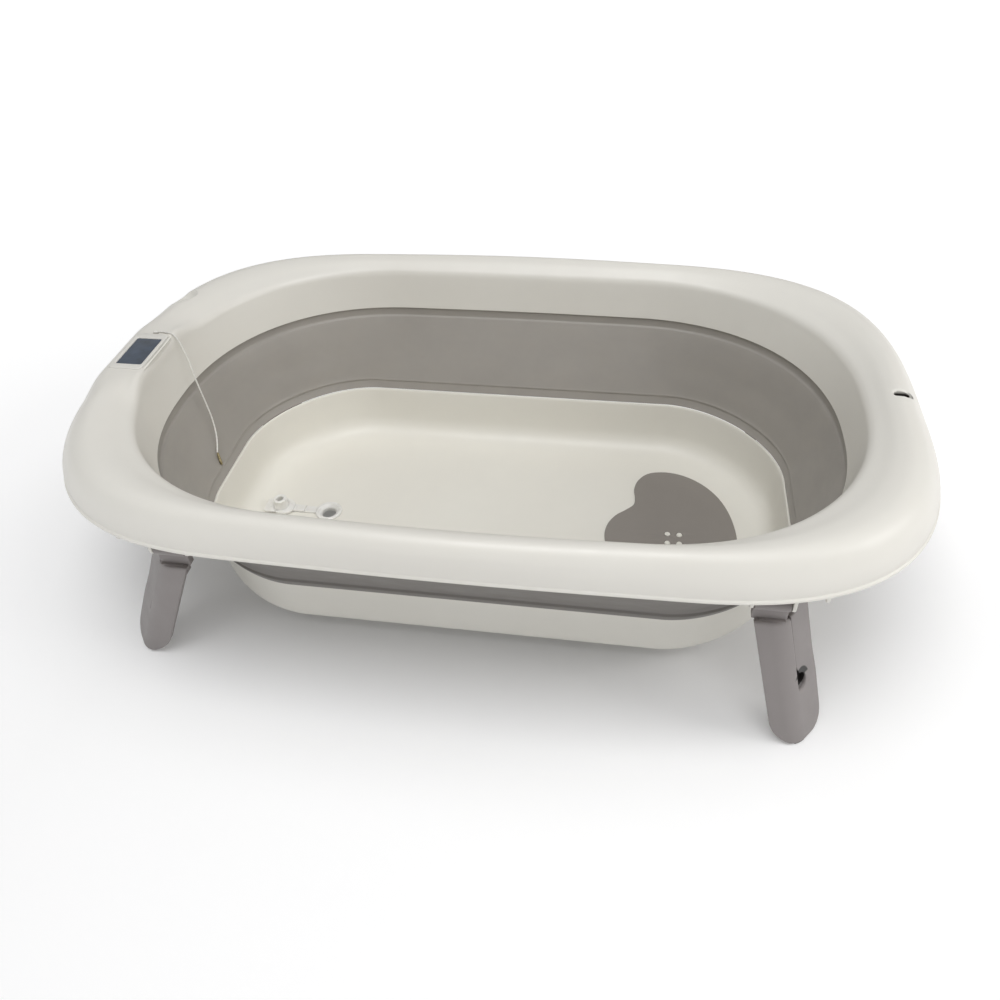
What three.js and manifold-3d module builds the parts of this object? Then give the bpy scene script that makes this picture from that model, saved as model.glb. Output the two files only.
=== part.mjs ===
// Foldable baby bathtub: a moulded rim on four folding legs, a rigid base tray that
// hangs from it on a soft bellows wall, a flip-over drain plug, a soft floor pad and a
// digital bath thermometer let into one end of the rim with its probe on a thin wire.
// Units are millimetres, +Z is up, +X is the end with the hanging hole and -X the
// thermometer end. The origin is the centre of the footprint, on the floor.
import * as THREE from 'three';
import { mergeVertices } from 'three/addons/utils/BufferGeometryUtils.js';
import Module from 'manifold-3d';

const wasm = await Module();
wasm.setup();

// ---------------------------------------------------------------- driving dimensions
const RIM = {
  // half length, half width, height, corner radius, corner exponent, bow of the long sides
  outer: [
    [408.0, 245.8, 200.0, 226.0, 2.58, 2.2],
    [408.0, 245.8, 203.2, 226.0, 2.58, 2.2],
    [405.7, 244.8, 210.8, 225.6, 2.60, 3.0],
    [400.6, 243.4, 221.0, 224.3, 2.65, 4.4],
    [394.6, 241.0, 229.3, 221.9, 2.69, 5.6],
    [386.7, 236.8, 236.2, 218.1, 2.69, 6.0],
    [377.7, 230.8, 239.4, 216.1, 2.64, 6.0],
    [367.1, 222.6, 236.9, 212.7, 2.50, 5.2],
    [357.0, 215.6, 230.9, 209.0, 2.32, 4.0],
    [351.3, 212.2, 226.6, 206.5, 2.20, 3.2],
    [349.6, 211.2, 223.6, 206.0, 2.19, 3.0],
    [345.6, 209.6, 206.0, 206.0, 2.19, 2.6],
    [341.0, 207.4, 181.6, 206.0, 2.19, 2.2],
  ],
  wall: 3.0,
};
const BELLOWS = {
  inner: [
    [341.0, 207.4, 181.2, 206, 2.19, 2.2],
    [340.3, 206.8, 169.6, 205, 2.16, 2.1],
    [324.6, 188.0, 133.5, 165, 1.98, 1.2],
    [309.2, 169.8, 98.6, 131, 1.83, 0.2],
    [305.0, 166.0, 89.0, 127, 1.81, 0.0],
  ],
  wall: 2.4,
};
const BASE = {
  inner: [
    [305.0, 166.0, 88.6, 127, 1.81],
    [303.0, 164.0, 62.0, 126, 1.81],
    [301.4, 162.4, 46.5, 125, 1.82],
    [298.0, 159.0, 37.0, 122, 1.83],
    [290.0, 151.0, 29.8, 115, 1.85],
    [277.0, 138.0, 26.6, 104, 1.88],
    [258.0, 119.0, 26.0, 88, 1.90],
  ],
  outer: [
    [307.3, 168.3, 88.6, 129, 1.81],
    [305.4, 166.4, 62.0, 128, 1.81],
    [303.8, 164.8, 45.0, 127, 1.82],
    [300.0, 161.0, 34.0, 124, 1.83],
    [291.4, 152.4, 26.4, 116, 1.85],
    [278.0, 139.0, 23.4, 105, 1.88],
    [258.0, 119.0, 23.0, 88, 1.90],
  ],
  floorTop: 26.0,
  split: 46.3,
  floorBottom: 23.0,
};
const DRAIN = { x: -204, y: 0, hole: 10.9, bore: 8.3, funnel: 11.4, tube: 10.6, seatFlange: 15.5, lower: 13.0, hingeX: -232.8, hingeZ: 29.8, strap: 10, capX: -258.5, cupX: -261.6, capR: 13, cupR: 7.8, cupIn: 3.8, cupTop: 39.8, capZ: 27.6, capT: 3.0 };
const PAD = { z0: 26.3, z1: 28.0, pips: [[188.5, 7.0], [201.5, 7.0], [188.5, -7.0], [201.5, -7.0]], pipR: 3.2 };
const HANG = { x: 379, y: -3, long: 14.0, short: 8.0 };
const SCALLOP = { x: -386.0, y: 124.0, z: 241.0, turn: -0.33 };
const THERMO = { x: -370, y: -2.5, w: 36, l: 67, top: 239.0, pocketFloor: 216.5, clear: 0.35, bossTop: 238.4 };
const LEG = {
  axisY: 208, axisZ: 168, pinR: 3.0, pinHole: 3.3, cheekHole: 3.2, cheekT: 3.0,
  neckX0: 246.5, neckX1: 275.2, panelZ: 150, frontY: 215.5, corner: 24, slit: 33, total: 60,
  turn: 0.9, bend: 22, t: 8, bottomR: 30, panelTop: 161, soleGap: 2.4,
  // the legs at the drain end stand wider than the ones at the other end
  right: { panelX0: 248.4, slope: 0.262, splayY: 0.096 },
  left: { panelX0: 248.0, slope: 0.485, splayY: -0.082 },
};
const WIRE = {
  d: 1.8,
  route: [
    [-365.6, 33.6, 239.3], [-361.8, 33.7, 239.8], [-357.6, 33.3, 239.9], [-350.6, 32.7, 238.8], [-345.4, 31.4, 234.0], [-341.9, 29.5, 227.9],
    [-339.2, 27.4, 221.3], [-336.6, 25.2, 214.9], [-334.5, 23.0, 208.2], [-332.7, 20.9, 201.3], [-331.2, 19.0, 194.3],
    [-329.7, 17.4, 187.2], [-328.1, 16.0, 180.1], [-326.5, 14.8, 173.0], [-324.9, 13.6, 165.9], [-323.4, 12.3, 158.9],
    [-321.8, 10.7, 152.1], [-320.3, 8.7, 145.4], [-318.9, 6.2, 138.9], [-317.5, 3.0, 132.7], [-316.2, -1.0, 126.7],
    [-315.1, -6.0, 121.1], [-314.1, -11.7, 116.0],
  ],
  tipEnd: [-309.5, -18.0, 103.2],
  tipR: 1.5,
};

// ---------------------------------------------------------------- materials
const mat = (name, color, roughness, metalness = 0) => {
  const m = new THREE.MeshStandardMaterial({ color, roughness, metalness });
  m.name = name;
  return m;
};
const finish = {
  cream: () => mat('cream_pp', 0xe6e1d5, 0.38),
  grey: () => mat('grey_tpe', 0x8d867f, 0.55),
  leg: () => mat('grey_pp', 0x8f8984, 0.42),
  pad: () => mat('pad_tpe', 0x97918b, 0.6),
  silicone: () => mat('silicone', 0xe9e7e0, 0.35),
  window: () => mat('window', 0x3a4250, 0.15),
  lcd: () => mat('lcd', 0x4b545c, 0.3),
  board: () => mat('board', 0x2f6b45, 0.5),
  steel: () => mat('steel', 0xc4c6c8, 0.28, 1),
  nickel: () => mat('nickel', 0xb9b4a6, 0.3, 1),
  brass: () => mat('brass', 0xb08d57, 0.3, 1),
  wire: () => mat('wire_white', 0xf1f0ec, 0.4),
  rubber: () => mat('rubber', 0x6f6a66, 0.8),
};

// ---------------------------------------------------------------- helpers
const CORNER = 11, SIDE = 3, END = 2;

// Closed loop of a rounded rectangle whose corners are superellipse arcs and whose long
// sides swell gently outwards at the middle.
function ring(a, b, z, r, e, bow = 0) {
  const rr = Math.min(r, b - 2, a - 2);
  const cx = a - rr, cy = b - rr;
  const pts = [];
  const corner = (sx, sy, rev) => {
    for (let i = 0; i <= CORNER; i++) {
      const t = ((rev ? CORNER - i : i) / CORNER) * Math.PI / 2;
      const c = i === (rev ? 0 : CORNER) ? 0 : Math.pow(Math.cos(t), 2 / e);
      const s = i === (rev ? CORNER : 0) ? 0 : Math.pow(Math.sin(t), 2 / e);
      pts.push([sx * (cx + rr * c), sy * (cy + rr * s), z]);
    }
  };
  const between = (p, q, n) => {
    for (let i = 1; i < n; i++) pts.push([p[0] + (q[0] - p[0]) * i / n, p[1] + (q[1] - p[1]) * i / n, z]);
  };
  corner(1, 1, false);
  between([cx, b], [-cx, b], SIDE);
  corner(-1, 1, true);
  between([-a, cy], [-a, -cy], END);
  corner(-1, -1, false);
  between([-cx, -b], [cx, -b], SIDE);
  corner(1, -1, true);
  between([a, -cy], [a, cy], END);
  return bow ? pts.map(([x, y, h]) => [x, y + Math.sign(y) * bow * (y / b) ** 2 * Math.cos(Math.PI * x / 330), h]) : pts;
}

function geometryFrom(points, tris) {
  // wind the faces outwards
  let volume = 0;
  for (const [a, b, c] of tris) {
    const [p, q, r] = [points[a], points[b], points[c]];
    volume += p[0] * (q[1] * r[2] - q[2] * r[1]) + p[1] * (q[2] * r[0] - q[0] * r[2]) + p[2] * (q[0] * r[1] - q[1] * r[0]);
  }
  if (volume < 0) tris = tris.map(([a, b, c]) => [a, c, b]);
  const g = new THREE.BufferGeometry();
  g.setAttribute('position', new THREE.Float32BufferAttribute(points.flat(), 3));
  g.setIndex(tris.flat());
  return g;
}

// Quads between neighbouring loops; wrap closes the tube of loops, caps close its ends.
function loft(loops, { wrap = false, capStart = false, capEnd = false, strips = false } = {}) {
  const n = loops[0].length, pts = loops.flat(), tris = [];
  const q = (i, j) => i * n + (j % n);
  const last = wrap ? loops.length : loops.length - 1;
  for (let i = 0; i < last; i++) {
    const k = (i + 1) % loops.length;
    for (let j = 0; j < n; j++) {
      tris.push([q(i, j), q(i, j + 1), q(k, j + 1)], [q(i, j), q(k, j + 1), q(k, j)]);
    }
  }
  const cap = (i, rev) => {
    const c = [0, 0, 0];
    for (let j = 0; j < n; j++) for (let a = 0; a < 3; a++) c[a] += loops[i][j][a] / n;
    pts.push(c);
    const m = pts.length - 1;
    for (let j = 0; j < n; j++) tris.push(rev ? [m, q(i, j + 1), q(i, j)] : [m, q(i, j), q(i, j + 1)]);
  };
  // a loop that runs out along one face and back along the other is capped across itself
  const strip = (i, rev) => {
    for (let j = 0; j < n / 2 - 1; j++) {
      const [a, b, c, d] = [q(i, j), q(i, j + 1), q(i, n - 2 - j), q(i, n - 1 - j)];
      tris.push(rev ? [a, c, b] : [a, b, c], rev ? [a, d, c] : [a, c, d]);
    }
  };
  const close = strips ? strip : cap;
  if (capStart) close(0, true);
  if (capEnd) close(loops.length - 1, false);
  return geometryFrom(pts, tris);
}

function solid(geometry) {
  let g = geometry.clone();
  g.deleteAttribute('normal');
  g.deleteAttribute('uv');
  g = mergeVertices(g, 1e-4);
  const m = new wasm.Manifold(new wasm.Mesh({
    numProp: 3,
    vertProperties: new Float32Array(g.attributes.position.array),
    triVerts: new Uint32Array(g.index.array),
  }));
  return m;
}

function geometryOf(manifold) {
  const m = manifold.getMesh();
  const g = new THREE.BufferGeometry();
  const n = m.vertProperties.length / m.numProp;
  const p = new Float32Array(n * 3);
  for (let i = 0; i < n; i++) for (let a = 0; a < 3; a++) p[3 * i + a] = m.vertProperties[m.numProp * i + a];
  g.setAttribute('position', new THREE.BufferAttribute(p, 3));
  g.setIndex(new THREE.BufferAttribute(new Uint32Array(m.triVerts), 1));
  g.computeVertexNormals();
  return g;
}

const moved = (geometry, x, y, z) => geometry.clone().translate(x, y, z);

// Upright cylinder between two heights.
function cyl(x, y, z0, z1, r, n = 32) {
  const g = new THREE.CylinderGeometry(r, r, z1 - z0, n);
  g.rotateX(Math.PI / 2);
  return moved(g, x, y, (z0 + z1) / 2);
}

// Cylinder lying along X.
function cylX(x0, x1, y, z, r, n = 24) {
  const g = new THREE.CylinderGeometry(r, r, x1 - x0, n);
  g.rotateZ(-Math.PI / 2);
  return moved(g, (x0 + x1) / 2, y, z);
}

const box = (x0, x1, y0, y1, z0, z1) => moved(new THREE.BoxGeometry(x1 - x0, y1 - y0, z1 - z0), (x0 + x1) / 2, (y0 + y1) / 2, (z0 + z1) / 2);

// Prism of a rounded rectangle standing between two heights.
function roundedPrism(cx, cy, w, l, r, z0, z1, seg = 5) {
  const s = new THREE.Shape(), hw = w / 2, hl = l / 2;
  s.moveTo(-hw + r, -hl);
  s.lineTo(hw - r, -hl);
  s.absarc(hw - r, -hl + r, r, -Math.PI / 2, 0, false);
  s.lineTo(hw, hl - r);
  s.absarc(hw - r, hl - r, r, 0, Math.PI / 2, false);
  s.lineTo(-hw + r, hl);
  s.absarc(-hw + r, hl - r, r, Math.PI / 2, Math.PI, false);
  s.lineTo(-hw, -hl + r);
  s.absarc(-hw + r, -hl + r, r, Math.PI, 1.5 * Math.PI, false);
  const g = new THREE.ExtrudeGeometry(s, { depth: z1 - z0, bevelEnabled: false, curveSegments: seg });
  return moved(g, cx, cy, z0);
}

// Ring-shaped lathe about a vertical axis; the profile is a closed [radius, height] loop.
function lathe(x, y, profile, n = 40) {
  const pts = [...profile, profile[0]].map(([r, z]) => new THREE.Vector2(r, z));
  const g = new THREE.LatheGeometry(pts, n);
  g.rotateX(Math.PI / 2);
  return moved(g, x, y, 0);
}

// Plate with a YZ outline, extruded along X.
function plateX(outline, x0, x1) {
  const s = new THREE.Shape(outline.map(([y, z]) => new THREE.Vector2(y, z)));
  const g = new THREE.ExtrudeGeometry(s, { depth: x1 - x0, bevelEnabled: false });
  // shape x -> Y, shape y -> Z, depth -> X
  g.applyMatrix4(new THREE.Matrix4().set(0, 0, 1, x0, 1, 0, 0, 0, 0, 1, 0, 0, 0, 0, 0, 1));
  return g;
}

const group = new THREE.Group();
group.name = 'foldable_baby_bathtub';
function add(name, geometry, material) {
  geometry.computeVertexNormals();
  const mesh = new THREE.Mesh(geometry, material);
  mesh.name = name;
  group.add(mesh);
  return mesh;
}

// ---------------------------------------------------------------- rim
// Near the thermometer the top of the rim is levelled into a boss.
const smooth = (x, a, b) => { const t = Math.min(1, Math.max(0, (x - a) / (b - a))); return t * t * (3 - 2 * t); };
function levelled(p, drop) {
  const [x, y, z] = p;
  if (x > -340) return p;
  const across = 1 - smooth(Math.abs(y - THERMO.y), 40, 72);
  const inside = 1 - smooth(-x, 396, 402);
  const keep = smooth(z, 200, 222);
  const w = across * inside * keep;
  return [x, y, z + (THERMO.bossTop - drop - z) * w];
}
const outerLoops = RIM.outer.map(([a, b, z, r, e, w], i) => ring(a, b, z, r, e, w).map((p) => (i > 2 && i < 11 ? levelled(p, i > 9 ? 5 : i > 8 ? 2 : 0) : p)));
// Offset of the same loops, one wall inside.
const under = [
  [344.2, 210.6, 181.6, 209, 2.19, 2.2],
  [352.2, 214.2, 217.0, 209, 2.19, 2.9],
  [359.0, 217.8, 227.4, 210, 2.28, 4.0],
  [368.4, 224.4, 233.2, 213, 2.46, 5.0],
  [378.0, 230.8, 236.0, 215, 2.62, 5.8],
  [385.3, 235.0, 233.2, 217, 2.66, 5.8],
  [391.8, 238.6, 226.8, 219, 2.67, 5.4],
  [401.6, 241.6, 211.4, 223, 2.58, 3.0],
  [404.8, 242.6, 200.0, 223, 2.58, 2.2],
];
const underLoops = under.map(([a, b, z, r, e, w], i) => ring(a, b, z, r, e, w).map((p) => (i > 0 && i < 7 ? levelled(p, i < 3 ? 6.5 : 3.4) : p)));
let rim = solid(loft([...outerLoops, ...underLoops], { wrap: true }));

// solid envelope of the rim, used to trim the ribs under it to its skin
const envelope = solid(loft([
  ring(407, 244.8, 130, 226, 2.58, 2.2), ring(407, 244.8, 203.2, 226, 2.58, 2.2),
  ...RIM.outer.slice(2, 10).map(([a, b, z, r, e, w], i) => ring(a - (i < 4 ? 1.2 : 0.4), b - (i < 4 ? 1.2 : 0.4), z - (i < 2 ? 0.5 : 1.3), r, e, w)),
  ring(352.6, 213.4, 223.0, 207, 2.19, 3.0), ring(342.6, 209.0, 181.6, 207, 2.19, 2.2), ring(342.6, 209.0, 130, 207, 2.19, 2.2),
], { wrap: true }));

// hinge cheeks and stop ribs under the rim, four sets
const cheekXs = [[LEG.neckX0 - 3.6, LEG.neckX0 - 0.6, 8], [LEG.neckX1 + 0.8, LEG.neckX1 + 3.8, 12]];
const cheekOutline = (s, R) => {
  const pts = [];
  // half round below the pin, straight sides up into the rim channel
  const outline = [[-LEG.axisY - R, LEG.axisZ]];
  for (let i = 1; i < 10; i++) { const t = Math.PI + i * Math.PI / 10; outline.push([-LEG.axisY + R * Math.cos(t), LEG.axisZ + R * Math.sin(t)]); }
  outline.push([-LEG.axisY + R, LEG.axisZ], [-LEG.axisY + R + 1.5, 240], [-262, 240], [-262, 204], [-236, 200]);
  for (const [y, z] of outline) pts.push([s * y, z]);
  return s < 0 ? pts.reverse() : pts;
};
for (const sx of [1, -1]) {
  for (const sy of [1, -1]) {
    for (const [x0, x1, R] of cheekXs) {
      const [a, b] = sx > 0 ? [x0, x1] : [-x1, -x0];
      let rib = solid(plateX(cheekOutline(sy, R), a, b));
      rib = rib.intersect(envelope);
      rim = rim.add(rib);
    }
    const stop = [[-262, 240], [-262, 203], [-226, 203], [-220.5, 183], [-215.5, 183], [-206, 203], [-200, 240]].map(([y, z]) => [sy * y, z]);
    const [a, b] = sx > 0 ? [296.5, 299.5] : [-299.5, -296.5];
    rim = rim.add(solid(plateX(sy < 0 ? stop.reverse() : stop, a, b)).intersect(envelope));
    rim = rim.subtract(solid(cylX(sx > 0 ? 240 : -282, sx > 0 ? 282 : -240, -sy * LEG.axisY, LEG.axisZ, LEG.cheekHole, 16)));
  }
}

// pocket for the thermometer: a sleeve under the boss with a floor
{
  const T = THERMO, w = T.w + 2 * T.clear, l = T.l + 2 * T.clear;
  rim = rim.add(solid(roundedPrism(T.x, T.y, w + 4, l + 4, 7, T.pocketFloor - 2.4, T.bossTop - 1.2, 4)));
  rim = rim.subtract(solid(roundedPrism(T.x, T.y, w, l, 5.2, T.pocketFloor, 250, 4)));
  // battery hatch and slot for the wire grommet
  rim = rim.subtract(solid(cyl(T.x, T.y, T.pocketFloor - 6, T.pocketFloor + 3, 13.2, 28)));
  rim = rim.subtract(solid(box(T.x - 1.6, T.x + 5.0, T.y + l / 2 - 1, T.y + l / 2 + 4.6, 235.4, 250)));
}
// hanging hole in the other end
{
  const s = new THREE.Shape(), h = (HANG.long - HANG.short) / 2, r = HANG.short / 2;
  s.absarc(h, 0, r, -Math.PI / 2, Math.PI / 2, false);
  s.absarc(-h, 0, r, Math.PI / 2, 1.5 * Math.PI, false);
  const g = new THREE.ExtrudeGeometry(s, { depth: 40, bevelEnabled: false, curveSegments: 10 });
  rim = rim.subtract(solid(moved(g, HANG.x, HANG.y, 215)));
}
// finger scallop in the outer edge of the rim: a dish with its own wall under it
{
  const dish = (grow) => {
    const g = new THREE.SphereGeometry(1, 22, 14);
    g.scale(15 + grow, 19 + grow, 11 + grow);
    g.rotateZ(SCALLOP.turn);
    return moved(g, SCALLOP.x, SCALLOP.y, SCALLOP.z);
  };
  rim = rim.add(solid(dish(3)).intersect(envelope)).subtract(solid(dish(0)));
}
add('rim_shell', geometryOf(rim), finish.cream());

// ---------------------------------------------------------------- bellows wall
{
  const t = BELLOWS.wall;
  const inner = BELLOWS.inner.map(([a, b, z, r, e, w]) => ring(a, b, z, r, e, w));
  const outer = BELLOWS.inner.map(([a, b, z, r, e, w]) => ring(a + t, b + t, z, r + t, e, w)).reverse();
  add('bellows_wall', loft([...inner, ...outer], { wrap: true }), finish.grey());
}

// ---------------------------------------------------------------- base tray
{
  const outer = [...BASE.outer].reverse().map(([a, b, z, r, e]) => ring(a, b, z, r, e));
  const inner = BASE.inner.map(([a, b, z, r, e]) => ring(a, b, z, r, e));
  let tray = solid(loft([...outer, ...inner], { capStart: true, capEnd: true }));
  tray = tray.subtract(solid(cyl(DRAIN.x, DRAIN.y, 10, 40, DRAIN.hole, 40)));
  for (const [x, y] of PAD.pips) tray = tray.add(solid(cyl(x, y, BASE.floorTop - 1, PAD.z1 + 0.4, PAD.pipR, 16)));
  // the dished floor and the upright wall are one moulding, drawn as two solids that all but touch
  const split = BASE.split;
  add('base_tray', geometryOf(tray.intersect(solid(box(-320, 320, -180, 180, 0, split)))), finish.cream());
  add('base_wall', geometryOf(tray.intersect(solid(box(-320, 320, -180, 180, split + 0.2, 120)))), finish.cream());
}

// ---------------------------------------------------------------- floor pad
{
  const half = [[119, 0], [121.5, 16], [129.5, 31], [141, 42], [149.5, 52], [150.5, 64], [149, 78], [153, 95], [164, 108.5], [180, 113.5], [197, 112.5], [214, 106], [232, 92.5], [247.5, 72], [257.5, 48], [263, 22], [264.5, 0]];
  const pts = [...half.slice(0, -1), ...[...half].reverse().slice(0, -1).map(([x, y]) => [x, -y])];
  const curve = new THREE.CatmullRomCurve3(pts.map(([x, y]) => new THREE.Vector3(x, y, 0)), true, 'centripetal');
  const s = new THREE.Shape(curve.getPoints(60).slice(0, -1).map((p) => new THREE.Vector2(p.x, p.y)));
  let pad = solid(moved(new THREE.ExtrudeGeometry(s, { depth: PAD.z1 - PAD.z0, bevelEnabled: false }), 0, 0, PAD.z0));
  for (const [x, y] of PAD.pips) pad = pad.subtract(solid(cyl(x, y, 20, 40, PAD.pipR + 0.3, 16)));
  add('floor_pad', geometryOf(pad), finish.pad());
}

// ---------------------------------------------------------------- drain plug
{
  const D = DRAIN;
  let seat = solid(lathe(D.x, D.y, [[D.bore, 20.6], [D.lower, 20.6], [D.lower, 22.7], [D.tube, 22.7], [D.tube, 26.3], [D.seatFlange, 26.3], [D.seatFlange, 27.7], [D.seatFlange - 1.2, 28.6], [D.funnel, 28.6], [D.bore, 25.4]], 28));
  seat = seat.add(solid(box(D.hingeX + 0.3, D.x - 13.6, -D.strap / 2, D.strap / 2, 26.5, 28.3)));
  add('drain_seat', geometryOf(seat), finish.silicone());
  let cap = solid(cyl(D.capX, D.y, D.capZ, D.capZ + D.capT, D.capR, 28));
  cap = cap.add(solid(lathe(D.cupX, D.y, [[D.cupIn, D.capZ + 2.2], [D.cupR, D.capZ + 2.2], [D.cupR, D.cupTop - 0.8], [D.cupR - 0.8, D.cupTop], [D.cupIn, D.cupTop]], 24)));
  cap = cap.add(solid(box(D.capX + 10, D.hingeX - 0.3, -D.strap / 2, D.strap / 2, 28.4, 30.4)));
  // pull tab beyond the cup
  cap = cap.add(solid(roundedPrism(D.capX - 13, 0, 19, 22, 3, 28.7, 30.5, 4)));
  add('drain_cap', geometryOf(cap), finish.silicone());
}

// ---------------------------------------------------------------- thermometer
{
  const T = THERMO, x = T.x, y = T.y, z0 = T.pocketFloor + 0.3;
  let shell = solid(roundedPrism(x, y, T.w, T.l, 5, z0, 233.4, 4)).subtract(solid(roundedPrism(x, y, T.w - 3.6, T.l - 3.6, 3.4, z0 + 2.2, 240, 4)));
  shell = shell.subtract(solid(cyl(x, y, z0 - 2, z0 + 4, 12.4, 32)));
  add('thermo_case', geometryOf(shell), finish.cream());
  add('battery_door', cyl(x, y, z0 + 0.2, z0 + 2.0, 12.0, 32), finish.cream());
  add('coin_cell', cyl(x, y, z0 + 2.6, z0 + 5.8, 10.0, 32), finish.steel());
  add('contact_negative', box(x - 3, x + 3, y - 8, y + 8, z0 + 6.1, z0 + 6.5), finish.nickel());
  add('contact_positive', box(x - 4, x + 4, y + 10.4, y + 10.8, z0 + 2.7, z0 + 8.2), finish.nickel());
  add('thermo_board', roundedPrism(x, y, 31, 61, 2, z0 + 8.6, z0 + 9.8, 3), finish.board());
  add('thermo_lcd', box(x - 13.5, x + 13.5, y - 24, y + 24, z0 + 10.2, z0 + 12.6), finish.lcd());
  const bezel = solid(roundedPrism(x, y, T.w, T.l, 5, 233.8, T.top, 5)).subtract(solid(box(x - 13.9, x + 13.9, y - 24.4, y + 24.4, 230, 245)));
  add('thermo_bezel', geometryOf(bezel), finish.cream());
  add('thermo_window', roundedPrism(x, y, 27.2, 48.2, 0.8, 236.2, 238.2, 3), finish.window());
  // sleeve that the probe wire leaves through, along the end of the bezel
  const g = cylX(x - 1.2, -366.0, 33.6, 239.0, 1.4, 16);
  add('wire_grommet', g, finish.wire());
}

// ---------------------------------------------------------------- probe on its wire
{
  const route = WIRE.route.map(([x, y, z]) => new THREE.Vector3(x, y, z));
  const curve = new THREE.CatmullRomCurve3(route, false, 'centripetal');
  const s = new THREE.Shape();
  for (let i = 0; i < 8; i++) {
    const a = i * Math.PI / 4, p = [WIRE.d / 2 * Math.cos(a), WIRE.d / 2 * Math.sin(a)];
    if (i) s.lineTo(...p); else s.moveTo(...p);
  }
  s.closePath();
  add('probe_wire', new THREE.ExtrudeGeometry(s, { steps: 34, bevelEnabled: false, extrudePath: curve }), finish.wire());
  const a = route[route.length - 1], b = new THREE.Vector3(...WIRE.tipEnd);
  const dir = b.clone().sub(a).normalize(), start = a.clone().addScaledVector(dir, 0.9), len = b.distanceTo(start);
  const prof = [[0, 0], [WIRE.tipR * 0.8, 0], [WIRE.tipR, 0.5], [WIRE.tipR, len - 1.6], [WIRE.tipR * 0.7, len - 0.5], [0, len]].map(([r, h]) => new THREE.Vector2(r, h));
  const g = new THREE.LatheGeometry(prof, 16);
  const q = new THREE.Quaternion().setFromUnitVectors(new THREE.Vector3(0, 1, 0), dir);
  g.applyQuaternion(q);
  g.translate(start.x, start.y, start.z);
  add('probe_tip', g, finish.brass());
}

// ---------------------------------------------------------------- legs
// The leg is one bent tongue: a front panel along the side of the tub and a corner
// panel turned about 50 degrees, joined below a slit, on a round foot. It is drawn for
// the +X, -Y corner and mirrored to the others.
function legSolid(V) {
  const L = LEG, tan = Math.tan(L.turn / 2);
  const s1 = L.corner - L.bend * tan, s2 = s1 + L.bend * L.turn;
  // walk the outer face at arc position s, giving the point and its inward normal
  const walk = (s) => {
    if (s <= s1) return [s, 0, 0, 1];
    const n = (a) => [s1 + L.bend * Math.sin(a), L.bend * (1 - Math.cos(a)), -Math.sin(a), Math.cos(a)];
    if (s < s2) return n((s - s1) / L.bend);
    const [x, y, nx, ny] = n(L.turn), d = s - s2;
    return [x + d * Math.cos(L.turn), y + d * Math.sin(L.turn), nx, ny];
  };
  const zs = [L.soleGap, 3.6, 5.6, 8.6, 13, 19.5, 30, 64, 110, L.panelTop];
  const across = 12;
  const loops = zs.map((z) => {
    const d = Math.max(0, L.bottomR - z), inset = L.bottomR - Math.sqrt(Math.max(0, L.bottomR ** 2 - d ** 2));
    const x0 = V.panelX0 + V.slope * (L.panelZ - z), y0 = -(L.frontY + V.splayY * (L.panelZ - z));
    const pts = [];
    for (const side of [0, 1]) {
      for (let i = 0; i <= across; i++) {
        const k = side ? across - i : i;
        const s = inset + (L.total - 2 * inset) * k / across;
        const [px, py, nx, ny] = walk(s);
        const off = side ? L.t : 0;
        pts.push([x0 + px + nx * off, y0 + py + ny * off, z]);
      }
    }
    return pts;
  });
  let leg = solid(loft(loops, { capStart: true, capEnd: true, strips: true }));
  // slit between the panels, wider at the top, following the slope of the leg
  const slitX = (z) => V.panelX0 + V.slope * (L.panelZ - z) + walk(L.slit)[0];
  const slitLoops = [[76, -1.0, 0.6], [110, -0.9, 1.7], [150, -0.8, 3.2], [L.panelTop + 6, -0.8, 3.8]].map(([z, a, b]) => [
    [slitX(z) + a, -240, z], [slitX(z) + b, -240, z], [slitX(z) + b, -190, z], [slitX(z) + a, -190, z],
  ]);
  leg = leg.subtract(solid(loft(slitLoops, { capStart: true, capEnd: true })));
  // oval relief at the foot of the slit
  const oval = new THREE.CylinderGeometry(1, 1, 60, 14);
  oval.scale(4.2, 1, 9);
  const reliefZ = 75;
  oval.rotateZ(-0.45);
  oval.translate(slitX(reliefZ) + 3.4, -210, reliefZ);
  leg = leg.subtract(solid(oval));
  // the front panel stops under the hinge: clear it and set the knuckle back
  leg = leg.subtract(solid(box(236, 281, -240, -170, L.panelZ, 190)));
  const neck0 = L.neckX0 - 0.1, neck1 = L.neckX1;
  leg = leg.add(solid(box(neck0, neck1, -209.6, -202.4, 143.5, L.axisZ)).subtract(solid(box(230, neck0 + 4.6, -230, -190, 130, 150.0))));
  leg = leg.add(solid(box(neck0 + 4.6, neck1, -212.6, -202.4, 139, 149.6)));
  leg = leg.add(solid(cylX(neck0, neck1, -L.axisY, L.axisZ, 6.6, 20)));
  leg = leg.subtract(solid(cylX(neck0 - 4, neck1 + 4, -L.axisY, L.axisZ, L.pinHole, 20)));
  return leg;
}
function soleGeometry(V) {
  const L = LEG;
  const x0 = V.panelX0 + V.slope * L.panelZ, y0 = -(L.frontY + V.splayY * L.panelZ);
  // a short band under the bend, inside the flat of the foot
  const tan = Math.tan(L.turn / 2), s1 = L.corner - L.bend * tan;
  const at = (s, off) => {
    const a = (s - s1) / L.bend;
    return [x0 + s1 + L.bend * Math.sin(a) - Math.sin(a) * off, y0 + L.bend * (1 - Math.cos(a)) + Math.cos(a) * off];
  };
  const s = new THREE.Shape();
  const ring = [...[21, 25, 29, 33].map((v) => at(v, 1.3)), ...[33, 29, 25, 21].map((v) => at(v, 6.7))];
  ring.forEach(([x, y], i) => (i ? s.lineTo(x, y) : s.moveTo(x, y)));
  return new THREE.ExtrudeGeometry(s, { depth: L.soleGap - 0.3, bevelEnabled: false });
}
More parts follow.
